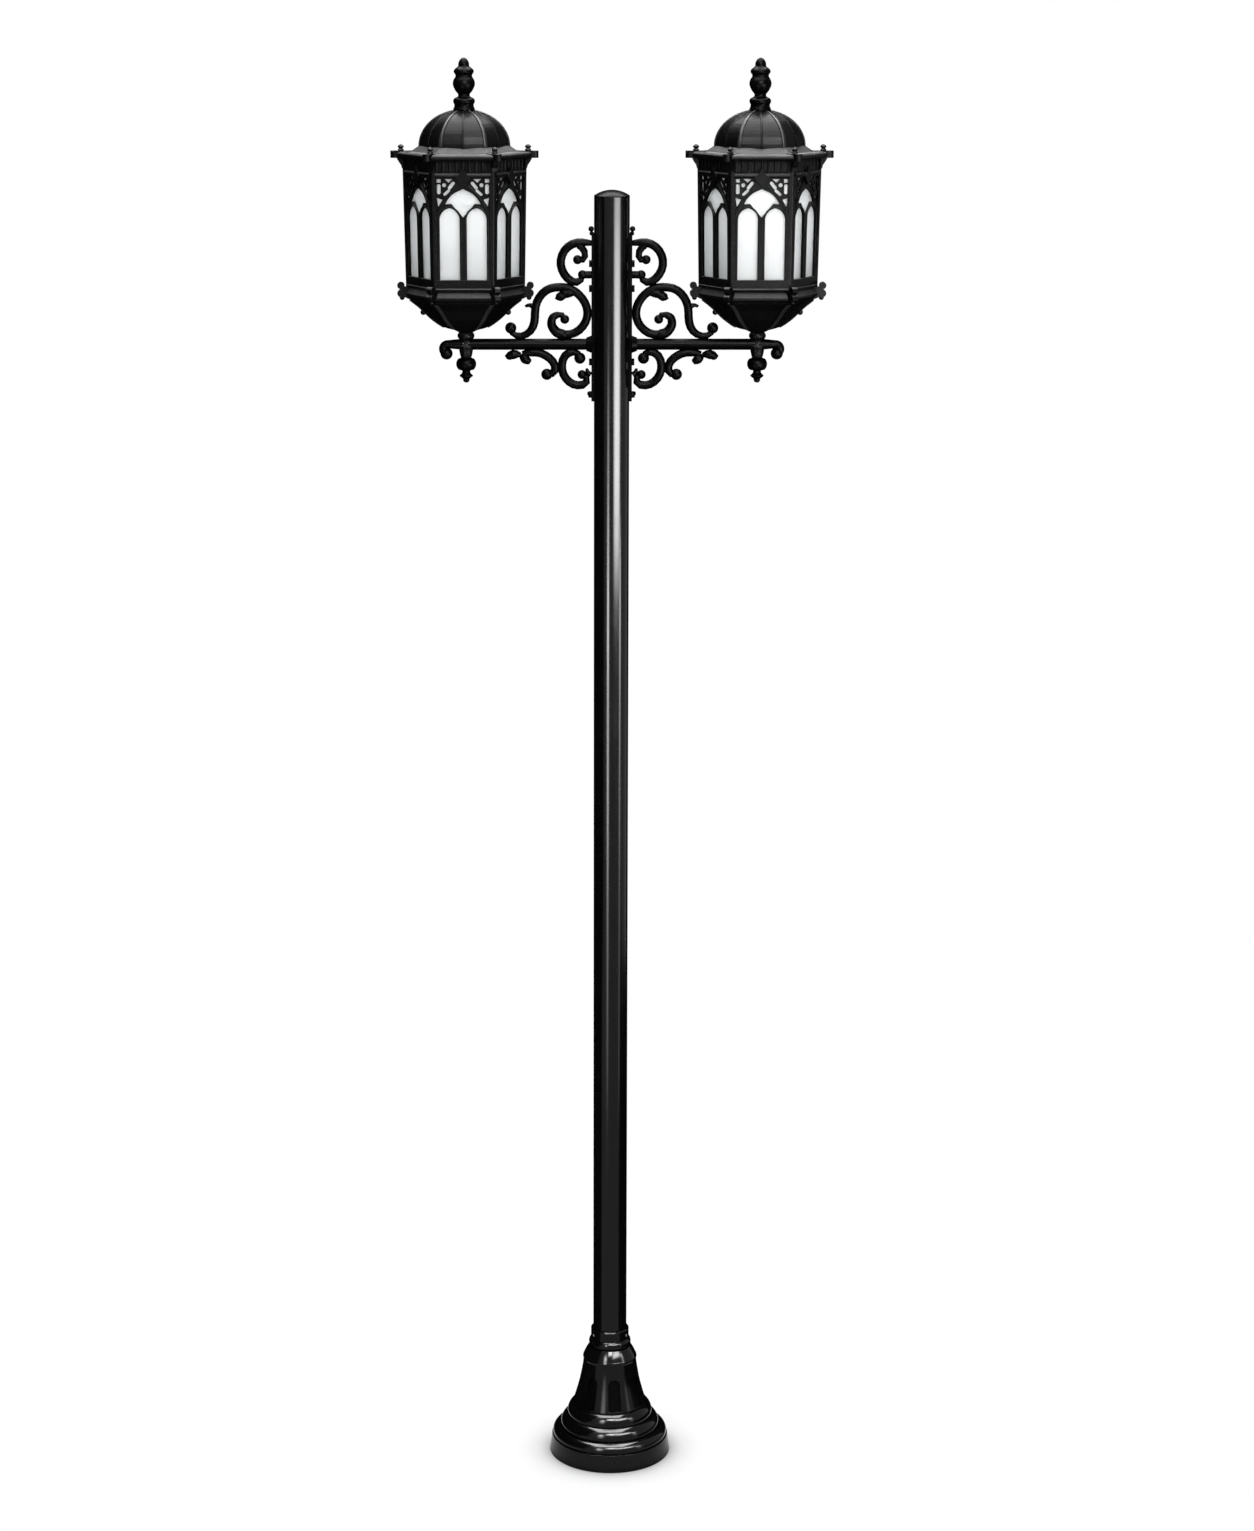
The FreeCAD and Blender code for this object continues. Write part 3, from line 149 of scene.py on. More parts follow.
# Soft boxes seen in the enamel: height and radiance
LEFT_STRIP = ((0.02, 4.5), (0.2, 7.0), (0.39, 10.0), (0.69, 16.0), (0.98, 36.0), (1.27, 36.0), (1.45, 60.0),
              (1.55, 62.0), (1.83, 30.0), (2.1, 15.0), (2.3, 4.0))
RIGHT_STRIP = ((0.02, 3.0), (0.39, 4.5), (0.69, 7.0), (0.98, 14.0), (1.27, 22.0), (1.55, 40.0), (1.75, 40.0))
WINDOW = ((1.6, 12.0), (1.72, 56.0), (2.1, 72.0), (2.4, 55.0), (2.8, 32.0))
FRONT_SKY = ((4.0, 40.0), (4.6, 90.0), (5.6, 100.0), (6.8, 60.0))

# Camera, from the photograph
CAMERA_PLACE = (-0.0559, -7.158, 3.375)
CAMERA_SHIFT = 0.027
CAMERA_TILT = 13.661
CAMERA_LENS = 36 * 3325.0 / 1531


def link(item):
    """Puts a new object in the scene."""
    bpy.context.scene.collection.objects.link(item)
    return item


# Shading by angle

def smoothing_group():
    """Geometry nodes that weld the seams of a mesh, and smooth it where its faces meet gently."""
    group = bpy.data.node_groups.new("smooth_by_angle", "GeometryNodeTree")
    for way in ("INPUT", "OUTPUT"):
        group.interface.new_socket("Geometry", in_out=way, socket_type="NodeSocketGeometry")
    tree = group.nodes
    start, end = tree.new("NodeGroupInput"), tree.new("NodeGroupOutput")
    weld = tree.new("GeometryNodeMergeByDistance")
    weld.inputs["Distance"].default_value = 0.000002
    whole = tree.new("GeometryNodeSetShadeSmooth")
    whole.domain = "FACE"
    whole.inputs["Shade Smooth"].default_value = True
    edges = tree.new("GeometryNodeSetShadeSmooth")
    edges.domain = "EDGE"
    edges.inputs["Shade Smooth"].default_value = False
    angle = tree.new("GeometryNodeInputMeshEdgeAngle")
    steep = tree.new("FunctionNodeCompare")
    steep.data_type = "FLOAT"
    steep.operation = "GREATER_THAN"
    steep.inputs[1].default_value = SMOOTH_ANGLE
    wire = group.links.new
    wire(start.outputs[0], weld.inputs["Geometry"])
    wire(weld.outputs["Geometry"], whole.inputs["Geometry"])
    wire(whole.outputs["Geometry"], edges.inputs["Geometry"])
    wire(angle.outputs["Unsigned Angle"], steep.inputs[0])
    wire(steep.outputs["Result"], edges.inputs["Selection"])
    wire(edges.outputs["Geometry"], end.inputs[0])
    return group


SMOOTHING = smoothing_group()


def smooth(item):
    """Shades an object smooth, apart from its sharp edges."""
    item.modifiers.new("smooth", "NODES").node_group = SMOOTHING


# Materials

class Tree:
    """Builds the nodes of one material."""

    def __init__(self, name):
        self.material = bpy.data.materials.new(name)
        self.material.use_nodes = True
        self.nodes = self.material.node_tree.nodes
        self.wire = self.material.node_tree.links.new
        self.shader = self.nodes["Principled BSDF"]
        self.place = self.nodes.new("ShaderNodeTexCoord").outputs["Object"]

    def set(self, **values):
        """Sets sockets of the shader. Underscores stand for spaces."""
        for name, value in values.items():
            self.shader.inputs[name.replace("_", " ")].default_value = value

    def noise(self, scale, detail=4.0, roughness=0.55, distortion=0.0, stretch=None):
        node = self.nodes.new("ShaderNodeTexNoise")
        node.inputs["Scale"].default_value = scale
        node.inputs["Detail"].default_value = detail
        node.inputs["Roughness"].default_value = roughness
        node.inputs["Distortion"].default_value = distortion
        source = self.place
        if stretch:
            mapping = self.nodes.new("ShaderNodeMapping")
            mapping.inputs["Scale"].default_value = stretch
            self.wire(source, mapping.inputs["Vector"])
            source = mapping.outputs["Vector"]
        self.wire(source, node.inputs["Vector"])
        return node.outputs["Fac"]

    def cells(self, scale):
        node = self.nodes.new("ShaderNodeTexVoronoi")
        node.inputs["Scale"].default_value = scale
        self.wire(self.place, node.inputs["Vector"])
        return node.outputs["Distance"]

    def ramp(self, source, *stops):
        """A value or colour from stops of place and colour. A number stands for a grey."""
        node = self.nodes.new("ShaderNodeValToRGB")
        ramp = node.color_ramp
        while len(ramp.elements) < len(stops):
            ramp.elements.new(0.5)
        for element, (place, colour) in zip(ramp.elements, stops):
            element.position = place
            element.color = (colour, colour, colour, 1) if isinstance(colour, float) else (*colour, 1)
        self.wire(source, node.inputs["Fac"])
        return node.outputs["Color"]

    def math(self, operation, *values):
        node = self.nodes.new("ShaderNodeMath")
        node.operation = operation
        node.use_clamp = operation in ("ADD", "MULTIPLY")
        for socket, value in zip(node.inputs, values):
            if isinstance(value, (int, float)):
                socket.default_value = value
            else:
                self.wire(value, socket)
        return node.outputs[0]

    def plain(self, operation, *values):
        """A sum whose result may leave the range from zero to one."""
        result = self.math(operation, *values)
        result.node.use_clamp = False
        return result

    def distance(self, first, second):
        """The length of the long side over two legs."""
        squares = [self.plain("MULTIPLY", leg, leg) for leg in (first, second)]
        return self.plain("SQRT", self.plain("ADD", *squares))

    def open_sky(self):
        """How open a place is to the room round it, from zero in a hollow to one. The paint darkens hollows
        with it as painted shade.
        """
        node = self.nodes.new("ShaderNodeAmbientOcclusion")
        node.samples = 6
        node.inputs["Distance"].default_value = HOLLOW_REACH
        return self.ramp(node.outputs["AO"], (0.25, 0.0), (0.8, 1.0))

    def mix(self, factor, first, second):
        """Two colours, mixed."""
        node = self.nodes.new("ShaderNodeMix")
        node.data_type = "RGBA"
        sockets = (node.inputs["Factor"], node.inputs[6], node.inputs[7])
        for socket, value in zip(sockets, (factor, first, second)):
            if isinstance(value, (int, float, tuple)):
                socket.default_value = value
            else:
                self.wire(value, socket)
        return node.outputs[2]

    def bump(self, height, strength, distance, normal=None):
        node = self.nodes.new("ShaderNodeBump")
        node.inputs["Strength"].default_value = strength
        node.inputs["Distance"].default_value = distance
        self.wire(height, node.inputs["Height"])
        if normal:
            self.wire(normal, node.inputs["Normal"])
        return node.outputs["Normal"]

    def rounded(self, radius=EDGE_RADIUS):
        """The surface's direction with its sharp edges rounded off."""
        node = self.nodes.new("ShaderNodeBevel")
        node.samples = 4
        node.inputs["Radius"].default_value = radius
        return node.outputs["Normal"]

    def edges(self, normal, low=0.02, high=0.3):
        """How near a sharp edge is, from zero to one."""
        flat = self.nodes.new("ShaderNodeNewGeometry").outputs["Normal"]
        dot = self.nodes.new("ShaderNodeVectorMath")
        dot.operation = "DOT_PRODUCT"
        self.wire(normal, dot.inputs[0])
        self.wire(flat, dot.inputs[1])
        away = self.math("SUBTRACT", 1.0, dot.outputs["Value"])
        node = self.nodes.new("ShaderNodeMapRange")
        node.inputs["From Min"].default_value = low
        node.inputs["From Max"].default_value = high
        self.wire(away, node.inputs["Value"])
        return node.outputs["Result"]

    def coordinate(self, axis):
        """The object's own X, Y or Z."""
        split = self.nodes.new("ShaderNodeSeparateXYZ")
        self.wire(self.place, split.inputs[0])
        return split.outputs[axis]


def paint(name, dark, light, roughness, grain, grain_depth, wave_depth, specular, wear_and_highlight_colour, edge_wear_and_highlight=0.35,
          recess=None, top_light=None):
    """Paint on metal: a cloudy colour, a textured skin, painted shade in hollows, and paler edges for wear
    and for painted highlights.
    """
    t = Tree(name)
    normal = t.rounded()
    cloud = t.ramp(t.noise(9.0, 5.0, 0.6, 0.6), (0.32, dark), (0.72, light))
    speck = t.ramp(t.noise(620.0, 2.0), (0.63, 0.0), (0.72, 1.0))
    colour = t.mix(t.math("MULTIPLY", speck, 0.25), cloud, (*wear_and_highlight_colour, 1))
    edge_patches = t.ramp(t.noise(55.0, 4.0, 0.7), (0.38, 0.0), (0.66, 1.0))
    # Paler edges: wear of the coat, and a painted highlight along the edges.
    edge = t.math("MULTIPLY", t.math("MULTIPLY", t.edges(normal), edge_patches), edge_wear_and_highlight)
    coat = t.mix(edge, colour, (*wear_and_highlight_colour, 1))
    # Painted light: up-facing faces turn paler.
    if top_light:
        coat = t.mix(top_light(t, normal), coat, (*TOP_LIGHT_COLOUR, 1))
    open_sky = t.open_sky()
    # Painted shade: the colour darkens towards black in hollows.
    t.wire(t.mix(open_sky, (0.001, 0.001, 0.001, 1), coat), t.shader.inputs["Base Color"])
    low, high = roughness
    streaks = t.noise(30.0, 6.0, 0.65, 0.4, (1.0, 1.0, 0.35))
    t.wire(t.ramp(streaks, (0.3, low), (0.7, high)), t.shader.inputs["Roughness"])
    wave = t.bump(t.noise(38.0, 2.0, 0.4), 1.0, wave_depth, normal)
    pebble = t.bump(t.noise(grain, 3.0, 0.6), 1.0, grain_depth, wave)
    t.wire(pebble, t.shader.inputs["Normal"])
    # Painted shade: less gloss in hollows, and in the flutes where a recess is given.
    sheen = t.math("MULTIPLY", open_sky, specular)
    if recess:
        sheen = t.math("MULTIPLY", sheen, recess(t))
    t.wire(sheen, t.shader.inputs["Specular IOR Level"])
    t.set(Metallic=0.0)
    return t.material


def shaded_flutes(t):
    """Low in the flutes of the base cover, where the gloss is cut down as painted shade of the recess, and
    one elsewhere.
    """
    x, y, z = [t.coordinate(axis) for axis in "XYZ"]
    turn = t.plain("SUBTRACT", t.plain("ARCTAN2", x, t.plain("MULTIPLY", y, -1.0)), math.radians(FLUTE_TURN))
    step = math.radians(360 / FLUTE_COUNT)
    near = t.plain("ABSOLUTE", t.plain("WRAP", turn, -step / 2, step / 2))
    across = t.plain("MULTIPLY", near, t.distance(x, y))
    over = t.plain("MAXIMUM", t.plain("SUBTRACT", z, FLUTE_SPRING), 0.0)
    far = t.distance(across, over)
    within = t.plain("LESS_THAN", far, FLUTE_HALF)
    inside = t.plain("MULTIPLY", within, t.plain("GREATER_THAN", z, FLUTE_FOOT))
    return t.plain("SUBTRACT", 1.0, t.plain("MULTIPLY", inside, FLUTE_SHADE_SHARE))


def upward_painted_light(t, normal):
    """How much painted light lies on what faces up, below the dome: those faces turn paler."""
    split = t.nodes.new("ShaderNodeSeparateXYZ")
    t.wire(normal, split.inputs[0])
    upward = t.ramp(split.outputs["Z"], (0.3, 0.0), (0.62, 1.0))
    cloud = t.ramp(t.noise(26.0, 4.0, 0.6), (0.3, 0.6), (0.7, 1.0))
    below = t.plain("LESS_THAN", t.coordinate("Z"), DOME_FOOT)
    return t.math("MULTIPLY", t.math("MULTIPLY", upward, cloud), below)


def bare_metal(name, dark, light, roughness, scale, metallic=1.0):
    """Unpainted metal with a cloudy, slightly brushed skin. A dull coat of zinc isn't metallic."""
    t = Tree(name)
    normal = t.rounded(0.0004)
    spangle = t.ramp(t.cells(scale), (0.1, dark), (0.8, light))
    t.wire(spangle, t.shader.inputs["Base Color"])
    t.wire(t.ramp(t.noise(260.0, 4.0), (0.3, roughness - 0.07), (0.7, roughness + 0.09)),
           t.shader.inputs["Roughness"])
    t.wire(t.bump(t.noise(900.0, 3.0), 1.0, 0.00006, normal), t.shader.inputs["Normal"])
    t.set(Metallic=metallic, Specular_IOR_Level=0.03)
    return t.material


def frosted_glass():
    """Milky glass, sand-blasted on one face."""
    t = Tree("frosted_glass")
    cloud = t.ramp(t.noise(14.0, 3.0, 0.5, 0.3), (0.3, (0.93, 0.95, 0.95)), (0.7, (0.975, 0.985, 0.985)))
    climb = t.plain("DIVIDE", t.plain("SUBTRACT", t.coordinate("Z"), LEDGE_TOP), CAGE_TOP - LEDGE_TOP)
    # Painted shade: the glass is darker towards the bottom of the cage.
    lower_shade = t.ramp(climb, (0.08, (0.71, 0.715, 0.715)), (0.45, (0.89, 0.89, 0.89)), (0.85, (1.0, 1.0, 1.0)))
    tint = t.nodes.new("ShaderNodeMix")
    tint.data_type = "RGBA"
    tint.blend_type = "MULTIPLY"
    tint.inputs["Factor"].default_value = 1.0
    t.wire(cloud, tint.inputs[6])
    t.wire(lower_shade, tint.inputs[7])
    t.wire(tint.outputs[2], t.shader.inputs["Base Color"])
    t.wire(t.ramp(t.noise(420.0, 3.0), (0.3, 0.48), (0.7, 0.6)), t.shader.inputs["Roughness"])
    t.wire(t.bump(t.noise(1500.0, 2.0), 1.0, 0.00008), t.shader.inputs["Normal"])
    t.set(Transmission_Weight=0.6, IOR=1.5, Specular_IOR_Level=0.12)
    return t.material


def opal_glass():
    """The bulb's white glass."""
    t = Tree("opal_glass")
    t.wire(t.ramp(t.noise(20.0, 2.0), (0.3, (0.82, 0.82, 0.8)), (0.7, (0.88, 0.88, 0.86))),
           t.shader.inputs["Base Color"])
    t.wire(t.ramp(t.noise(90.0, 2.0), (0.3, 0.16), (0.7, 0.24)), t.shader.inputs["Roughness"])
    return t.material


def moulded_plastic():
    """The dark moulded shell of the lamp holder."""
    t = Tree("moulded_plastic")
    normal = t.rounded(0.0005)
    t.wire(t.ramp(t.noise(40.0, 4.0), (0.3, (0.012, 0.012, 0.013)), (0.7, (0.022, 0.021, 0.021))),
           t.shader.inputs["Base Color"])
    t.wire(t.ramp(t.noise(300.0, 3.0), (0.3, 0.38), (0.7, 0.5)), t.shader.inputs["Roughness"])
    t.wire(t.bump(t.noise(1200.0, 2.0), 1.0, 0.00005, normal), t.shader.inputs["Normal"])
    return t.material


MATERIALS = {
    "pole_paint": paint("pole_enamel", dark=(0.0018, 0.0018, 0.002), light=(0.0036, 0.0036, 0.0038),
                        roughness=(0.12, 0.19), grain=520.0, grain_depth=0.000012, wave_depth=0.00003,
                        specular=0.15, wear_and_highlight_colour=(0.02, 0.02, 0.021), edge_wear_and_highlight=0.2),
    # The base's flutes get painted shade.
    "base_paint": paint("base_enamel", dark=(0.0022, 0.0022, 0.0024), light=(0.0044, 0.0044, 0.0046),
                        roughness=(0.1, 0.17), grain=340.0, grain_depth=0.000015, wave_depth=0.00004,
                        specular=0.13, wear_and_highlight_colour=(0.03, 0.03, 0.031), edge_wear_and_highlight=0.25, recess=shaded_flutes),
    "bracket_paint": paint("bracket_paint", dark=(0.0008, 0.0008, 0.0008), light=(0.0022, 0.0022, 0.0022),
                           roughness=(0.26, 0.36), grain=700.0, grain_depth=0.00008, wave_depth=0.0004,
                           specular=0.009, wear_and_highlight_colour=(0.03, 0.03, 0.029)),
    "lantern_casting": paint("lantern_casting", dark=(0.0012, 0.0012, 0.0012),
                             light=(0.0036, 0.0037, 0.0036), roughness=(0.28, 0.38), grain=800.0,
                             grain_depth=0.00009, wave_depth=0.0004, specular=0.024,
                             wear_and_highlight_colour=(0.13, 0.131, 0.13), edge_wear_and_highlight=0.75, top_light=upward_painted_light),
    # A paler copy of the casting's paint: painted highlight along the ribs.
    "lantern_ridge_painted_highlight": paint("lantern_ridge_painted_highlight", dark=(0.02, 0.02, 0.0198), light=(0.038, 0.0382, 0.038),
                           roughness=(0.3, 0.4), grain=800.0, grain_depth=0.00011, wave_depth=0.0003,
                           specular=0.05, wear_and_highlight_colour=(0.09, 0.091, 0.09), edge_wear_and_highlight=0.4),
    "zinc_steel": bare_metal("zinc_steel", dark=(0.25, 0.26, 0.27), light=(0.37, 0.38, 0.39),
                             roughness=0.5, scale=300.0, metallic=0.0),
    "brass": bare_metal("brass", dark=(0.52, 0.35, 0.13), light=(0.74, 0.53, 0.24), roughness=0.32,
                        scale=160.0),
    "frosted_glass": frosted_glass(),
    "bulb_glass": opal_glass(),
    "holder_plastic": moulded_plastic(),
}


def dress(item, slot):
    """Gives an object the finish of a record slot."""
    item.data.materials.clear()
    item.data.materials.append(MATERIALS[slot])


def dress_frame():
    """Every CAD node takes its finish by its slot in the record, and turned pieces a smoother one."""
    for row in frame["record"]["subparts"]:
        dress(nodes[row["node"]], row["material_slot"])
    for name in TURNED_PIECES:
        dress(nodes[name], "bracket_paint")


dress_frame()


# Trim

def new_piece(name, mesh, body, slot, finish=None):
    """Makes one visible piece of a mesh that is in place."""
    bmesh.ops.recalc_face_normals(mesh, faces=mesh.faces)
    data = bpy.data.meshes.new(name)
    mesh.to_mesh(data)
    mesh.free()
    item = link(bpy.data.objects.new(name, data))
    dress(item, finish or slot)
    smooth(item)
    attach(item, body)


def curve_through(points, steps=6):
    """Points along a smooth curve through the given ones."""
    ends = [points[0] * 2 - points[1]] + list(points) + [points[-1] * 2 - points[-2]]
    found = []
    for a, b, c, d in zip(ends, ends[1:], ends[2:], ends[3:]):
        for step in range(steps):
            t = step / steps
            found.append(((b * 2) + (c - a) * t + (a * 2 - b * 5 + c * 4 - d) * t ** 2
                          + (b * 3 - a - c * 3 + d) * t ** 3) / 2)
    return found + [points[-1]]


def half_round(width, rise, sink, count=6):
    """A rounded bead's section: half its width, how far it stands up, and how deep it is set."""
    arc = [(math.cos(math.pi * k / count), math.sin(math.pi * k / count)) for k in range(count + 1)]
    return [(width * across, rise * up) for across, up in arc] + [(-width, -sink), (width, -sink)]


def bead(mesh, points, sizes, side=None, out=None, sink=BEAD_SINK):
    """Adds a rounded bead along the points. Either its side or its outward direction stays the same."""
    rings = []
    for k, point in enumerate(points):
        ahead = (points[min(k + 1, len(points) - 1)] - points[max(k - 1, 0)]).normalized()
        across = side if side else ahead.cross(out).normalized()
        upward = out if out else across.cross(ahead).normalized()
        share = k / (len(points) - 1)
        width, rise = [low + (high - low) * share for low, high in sizes]
        section = half_round(width, rise, sink)
        rings.append([mesh.verts.new(point + across * a + upward * b) for a, b in section])
    for near, far in zip(rings, rings[1:]):
        for k in range(len(near)):
            mesh.faces.new((near[k - 1], near[k], far[k], far[k - 1]))
    mesh.faces.new(rings[0])
    mesh.faces.new(rings[-1])


def on_all_sides(mesh, way):
    """Repeats what the mesh holds on every side of a lantern, and moves it all to the lantern's place."""
    first = mesh.verts[:] + mesh.edges[:] + mesh.faces[:]
    for k in range(1, LANTERN_SIDES):
        copy = bmesh.ops.duplicate(mesh, geom=first)
        fresh = [element for element in copy["geom"] if isinstance(element, bmesh.types.BMVert)]
        turn = Matrix.Rotation(2 * math.pi * k / LANTERN_SIDES, 3, "Z")
        bmesh.ops.rotate(mesh, verts=fresh, cent=(0, 0, 0), matrix=turn)
    bmesh.ops.translate(mesh, verts=mesh.verts, vec=X * LANTERN_X * way)


def dome_line(radius, end):
    """Points up the dome's skin over +X, to a share of its rise."""
    full = math.acos(DOME_TOP_SHARE)
    turns = [end * full * k / RIB_STEPS for k in range(RIB_STEPS + 1)]
    return [Vector((radius * math.cos(turn), 0, DOME_FOOT + DOME_HEIGHT * math.sin(turn) / math.sin(full)))
            for turn in turns]


def dome_ribs(side, way):
    """Rounded ribs up the dome's hips, in a paler paint as painted highlight, and slim ones up its creases.
    """
    mesh = bmesh.new()
    bead(mesh, dome_line(DOME_RADIUS, RIB_END_SHARE), DOME_RIB, side=Y)
    slim = bmesh.new()
    bead(slim, dome_line(DOME_RADIUS * CREASE_SHARE, CREASE_END_SHARE), DOME_CREASE, side=Y)
    turn = Matrix.Rotation(math.radians(30), 3, "Z")
    bmesh.ops.rotate(slim, verts=slim.verts, cent=(0, 0, 0), matrix=turn)
    for part, found, finish in (("ribs", mesh, "lantern_ridge_painted_highlight"), ("creases", slim, "lantern_casting")):
        on_all_sides(found, way)
        new_piece(side + "_dome_" + part, found, side + "_roof", "lantern_casting", finish)


def bowl_ribs(side, way):
    """Raised ribs down the bowl's hips, in a paler paint as painted highlight."""
    low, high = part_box(side + "_bowl")
    mesh = bmesh.new()
    hip = [Vector((BOWL_RADIUS * across, 0, low.z + (high.z - low.z) * up)) for up, across in BOWL_SHARES]
    bead(mesh, curve_through(hip), BOWL_RIB, side=-Y, sink=BOWL_RIB_SINK)
    on_all_sides(mesh, way)
    new_piece(side + "_bowl_ribs", mesh, "post", "lantern_casting", "lantern_ridge_painted_highlight")


def swollen_bar(mesh, points, count=14):
    """Adds a round bar in the plane of X and Z. Each point's Y is the radius there."""
    rings = []
    for k, point in enumerate(points):
        ahead = points[min(k + 1, len(points) - 1)] - points[max(k - 1, 0)]
        across = Vector((ahead.x, 0, ahead.z)).normalized().cross(Y)
        middle = Vector((point.x, 0, point.z))
        turns = [2 * math.pi * step / count for step in range(count)]
        rings.append([mesh.verts.new(middle + (across * math.cos(turn) + Y * math.sin(turn)) * point.y)
                      for turn in turns])
    for near, far in zip(rings, rings[1:]):
        for k in range(count):
            mesh.faces.new((near[k - 1], near[k], far[k], far[k - 1]))
    mesh.faces.new(rings[0])
    mesh.faces.new(rings[-1])


def scroll_leaves(side, way):
    """Blunt cast leaves that wrap the scrolls of one bracket."""
    mesh = bmesh.new()
    for sheath in SHEATHS:
        swollen_bar(mesh, curve_through([Vector((way * (BAR_FACE + BRACKET_REACH * outward), radius,
                                                 ARM_HEIGHT + BRACKET_REACH * upward))
                                         for outward, upward, radius in sheath]))
    new_piece(side + "_scroll_leaves", mesh, "post", "bracket_paint")


def panel_point(across, up):
    """A point on a window panel's tracery face, from shares of its half width and of its rail's height."""
    return Vector((PANEL_HALF * across, TRACERY_RECESS, RAIL_LOW * up))


def lancet_arch(way):
    """Points up one side of a light, over its point and down the other side."""
    half = LANCET_HALF + LANCET_MARGIN
    radius = (LANCET_RISE ** 2 + LANCET_HALF ** 2) / (2 * LANCET_HALF) + LANCET_MARGIN
    centre = half - radius
    peak = math.acos(-centre / radius)
    turns = [peak * k / LANCET_STEPS for k in range(LANCET_STEPS + 1)]
    right = [Vector((centre + radius * math.cos(turn), TRACERY_RECESS,
                     LANCET_SPRING + radius * math.sin(turn))) for turn in turns]
    left = [Vector((-point.x, point.y, point.z)) for point in right]
    shift = X * LANCET_MIDDLE * way
    foot = [Vector((-half, TRACERY_RECESS, SILL_TOP)), Vector((half, TRACERY_RECESS, SILL_TOP))]
    return ([foot[0] + shift] + [point + shift for point in left],
            [foot[1] + shift] + [point + shift for point in right])


def stand_panel(mesh):
    """Stands a mesh of the panel's own frame in the front of the cage."""
    place = Matrix.Translation((0, -PANEL_PLANE, LEDGE_TOP)) @ Matrix.Rotation(PANEL_LEAN, 4, "X")
    bmesh.ops.transform(mesh, verts=mesh.verts, matrix=place)


def tracery_beads(side, way):
    """Mouldings round the lights and along the great arch of every panel."""
    mesh = bmesh.new()
    for hand in (-1, 1):
        for run in lancet_arch(hand):
            bead(mesh, run, LANCET_BEAD, out=-Y)
        arch = [panel_point(hand * across, up) for across, up in ARCH_SHARES]
        bead(mesh, curve_through(arch, 3), ARCH_BEAD, out=-Y)
    stand_panel(mesh)
    on_all_sides(mesh, way)
    new_piece(side + "_tracery_beads", mesh, "post", "lantern_casting")


for side, way in SIDES:
    dome_ribs(side, way)
    bowl_ribs(side, way)
    tracery_beads(side, way)
    scroll_leaves(side, way)


# Studio

def floor():
    """A wide pale floor: it keeps the post's shadow near the post, and is plain white further off."""
    mesh = bmesh.new()
    bmesh.ops.create_circle(mesh, cap_ends=True, segments=96, radius=FLOOR_RADIUS)
    data = bpy.data.meshes.new("floor")
    mesh.to_mesh(data)
    mesh.free()
    item = link(bpy.data.objects.new("floor", data))
    t = Tree("floor")
    grain = t.ramp(t.noise(3.0, 3.0), (0.3, 0.79), (0.7, 0.81))
    t.wire(grain, t.shader.inputs["Base Color"])
    t.set(Roughness=0.9, Specular_IOR_Level=0.1)
    glow = t.nodes.new("ShaderNodeEmission")
    white = t.nodes.new("ShaderNodeEmission")
    glow.inputs["Strength"].default_value = FLOOR_GLOW
    white.inputs["Strength"].default_value = 1.0
    # Painted shadow: the floor's glow darkens with ambient occlusion near the post.
    near = t.nodes.new("ShaderNodeAmbientOcclusion")
    near.inputs["Distance"].default_value = SHADOW_REACH
    t.wire(t.ramp(near.outputs["AO"], (0.45, 0.1), (0.95, 1.0)), glow.inputs["Color"])
    lit = t.nodes.new("ShaderNodeMixShader")
    lit.inputs["Fac"].default_value = FLOOR_GLOW_SHARE
    t.wire(t.shader.outputs[0], lit.inputs[1])
    t.wire(glow.outputs[0], lit.inputs[2])
    length = t.nodes.new("ShaderNodeVectorMath")
    length.operation = "LENGTH"
    t.wire(t.place, length.inputs[0])
    fade = t.nodes.new("ShaderNodeMapRange")
    fade.interpolation_type = "SMOOTHSTEP"
    fade.inputs["From Min"].default_value, fade.inputs["From Max"].default_value = SHADOW_FADE
    t.wire(length.outputs["Value"], fade.inputs["Value"])
    blend = t.nodes.new("ShaderNodeMixShader")
    t.wire(fade.outputs["Result"], blend.inputs["Fac"])
    t.wire(lit.outputs[0], blend.inputs[1])
    t.wire(white.outputs[0], blend.inputs[2])
    seen = seen_ray(t)
    final = t.nodes.new("ShaderNodeMixShader")
    t.wire(seen, final.inputs["Fac"])
    t.wire(t.shader.outputs[0], final.inputs[1])
    t.wire(blend.outputs[0], final.inputs[2])
    t.wire(final.outputs[0], t.nodes["Material Output"].inputs["Surface"])
    data.materials.append(t.material)


def seen_ray(t):
    """One for rays from the camera, and for those that a mirror or glass sends on."""
    path = t.nodes.new("ShaderNodeLightPath")
    seen = t.math("ADD", path.outputs["Is Camera Ray"], path.outputs["Is Glossy Ray"])
    return t.math("ADD", seen, path.outputs["Is Transmission Ray"])


class WorldTree(Tree):
    """Builds the world's nodes with the same helpers."""

    def __init__(self, world):
        world.use_nodes = True
        self.nodes = world.node_tree.nodes
        self.wire = world.node_tree.links.new


def studio_world():
    world = bpy.data.worlds.new("studio")
    bpy.context.scene.world = world
    t = WorldTree(world)
    white = t.nodes["Background"]
    white.inputs["Color"].default_value = (1, 1, 1, 1)
    white.inputs["Strength"].default_value = 1.0
    soft = t.nodes.new("ShaderNodeBackground")
    soft.inputs["Color"].default_value = (0.97, 0.985, 1, 1)
    soft.inputs["Strength"].default_value = SOFT_WORLD
    final = t.nodes.new("ShaderNodeMixShader")
    t.wire(seen_ray(t), final.inputs["Fac"])
    t.wire(soft.outputs[0], final.inputs[1])
    t.wire(white.outputs[0], final.inputs[2])
    t.wire(final.outputs[0], t.nodes["World Output"].inputs["Surface"])


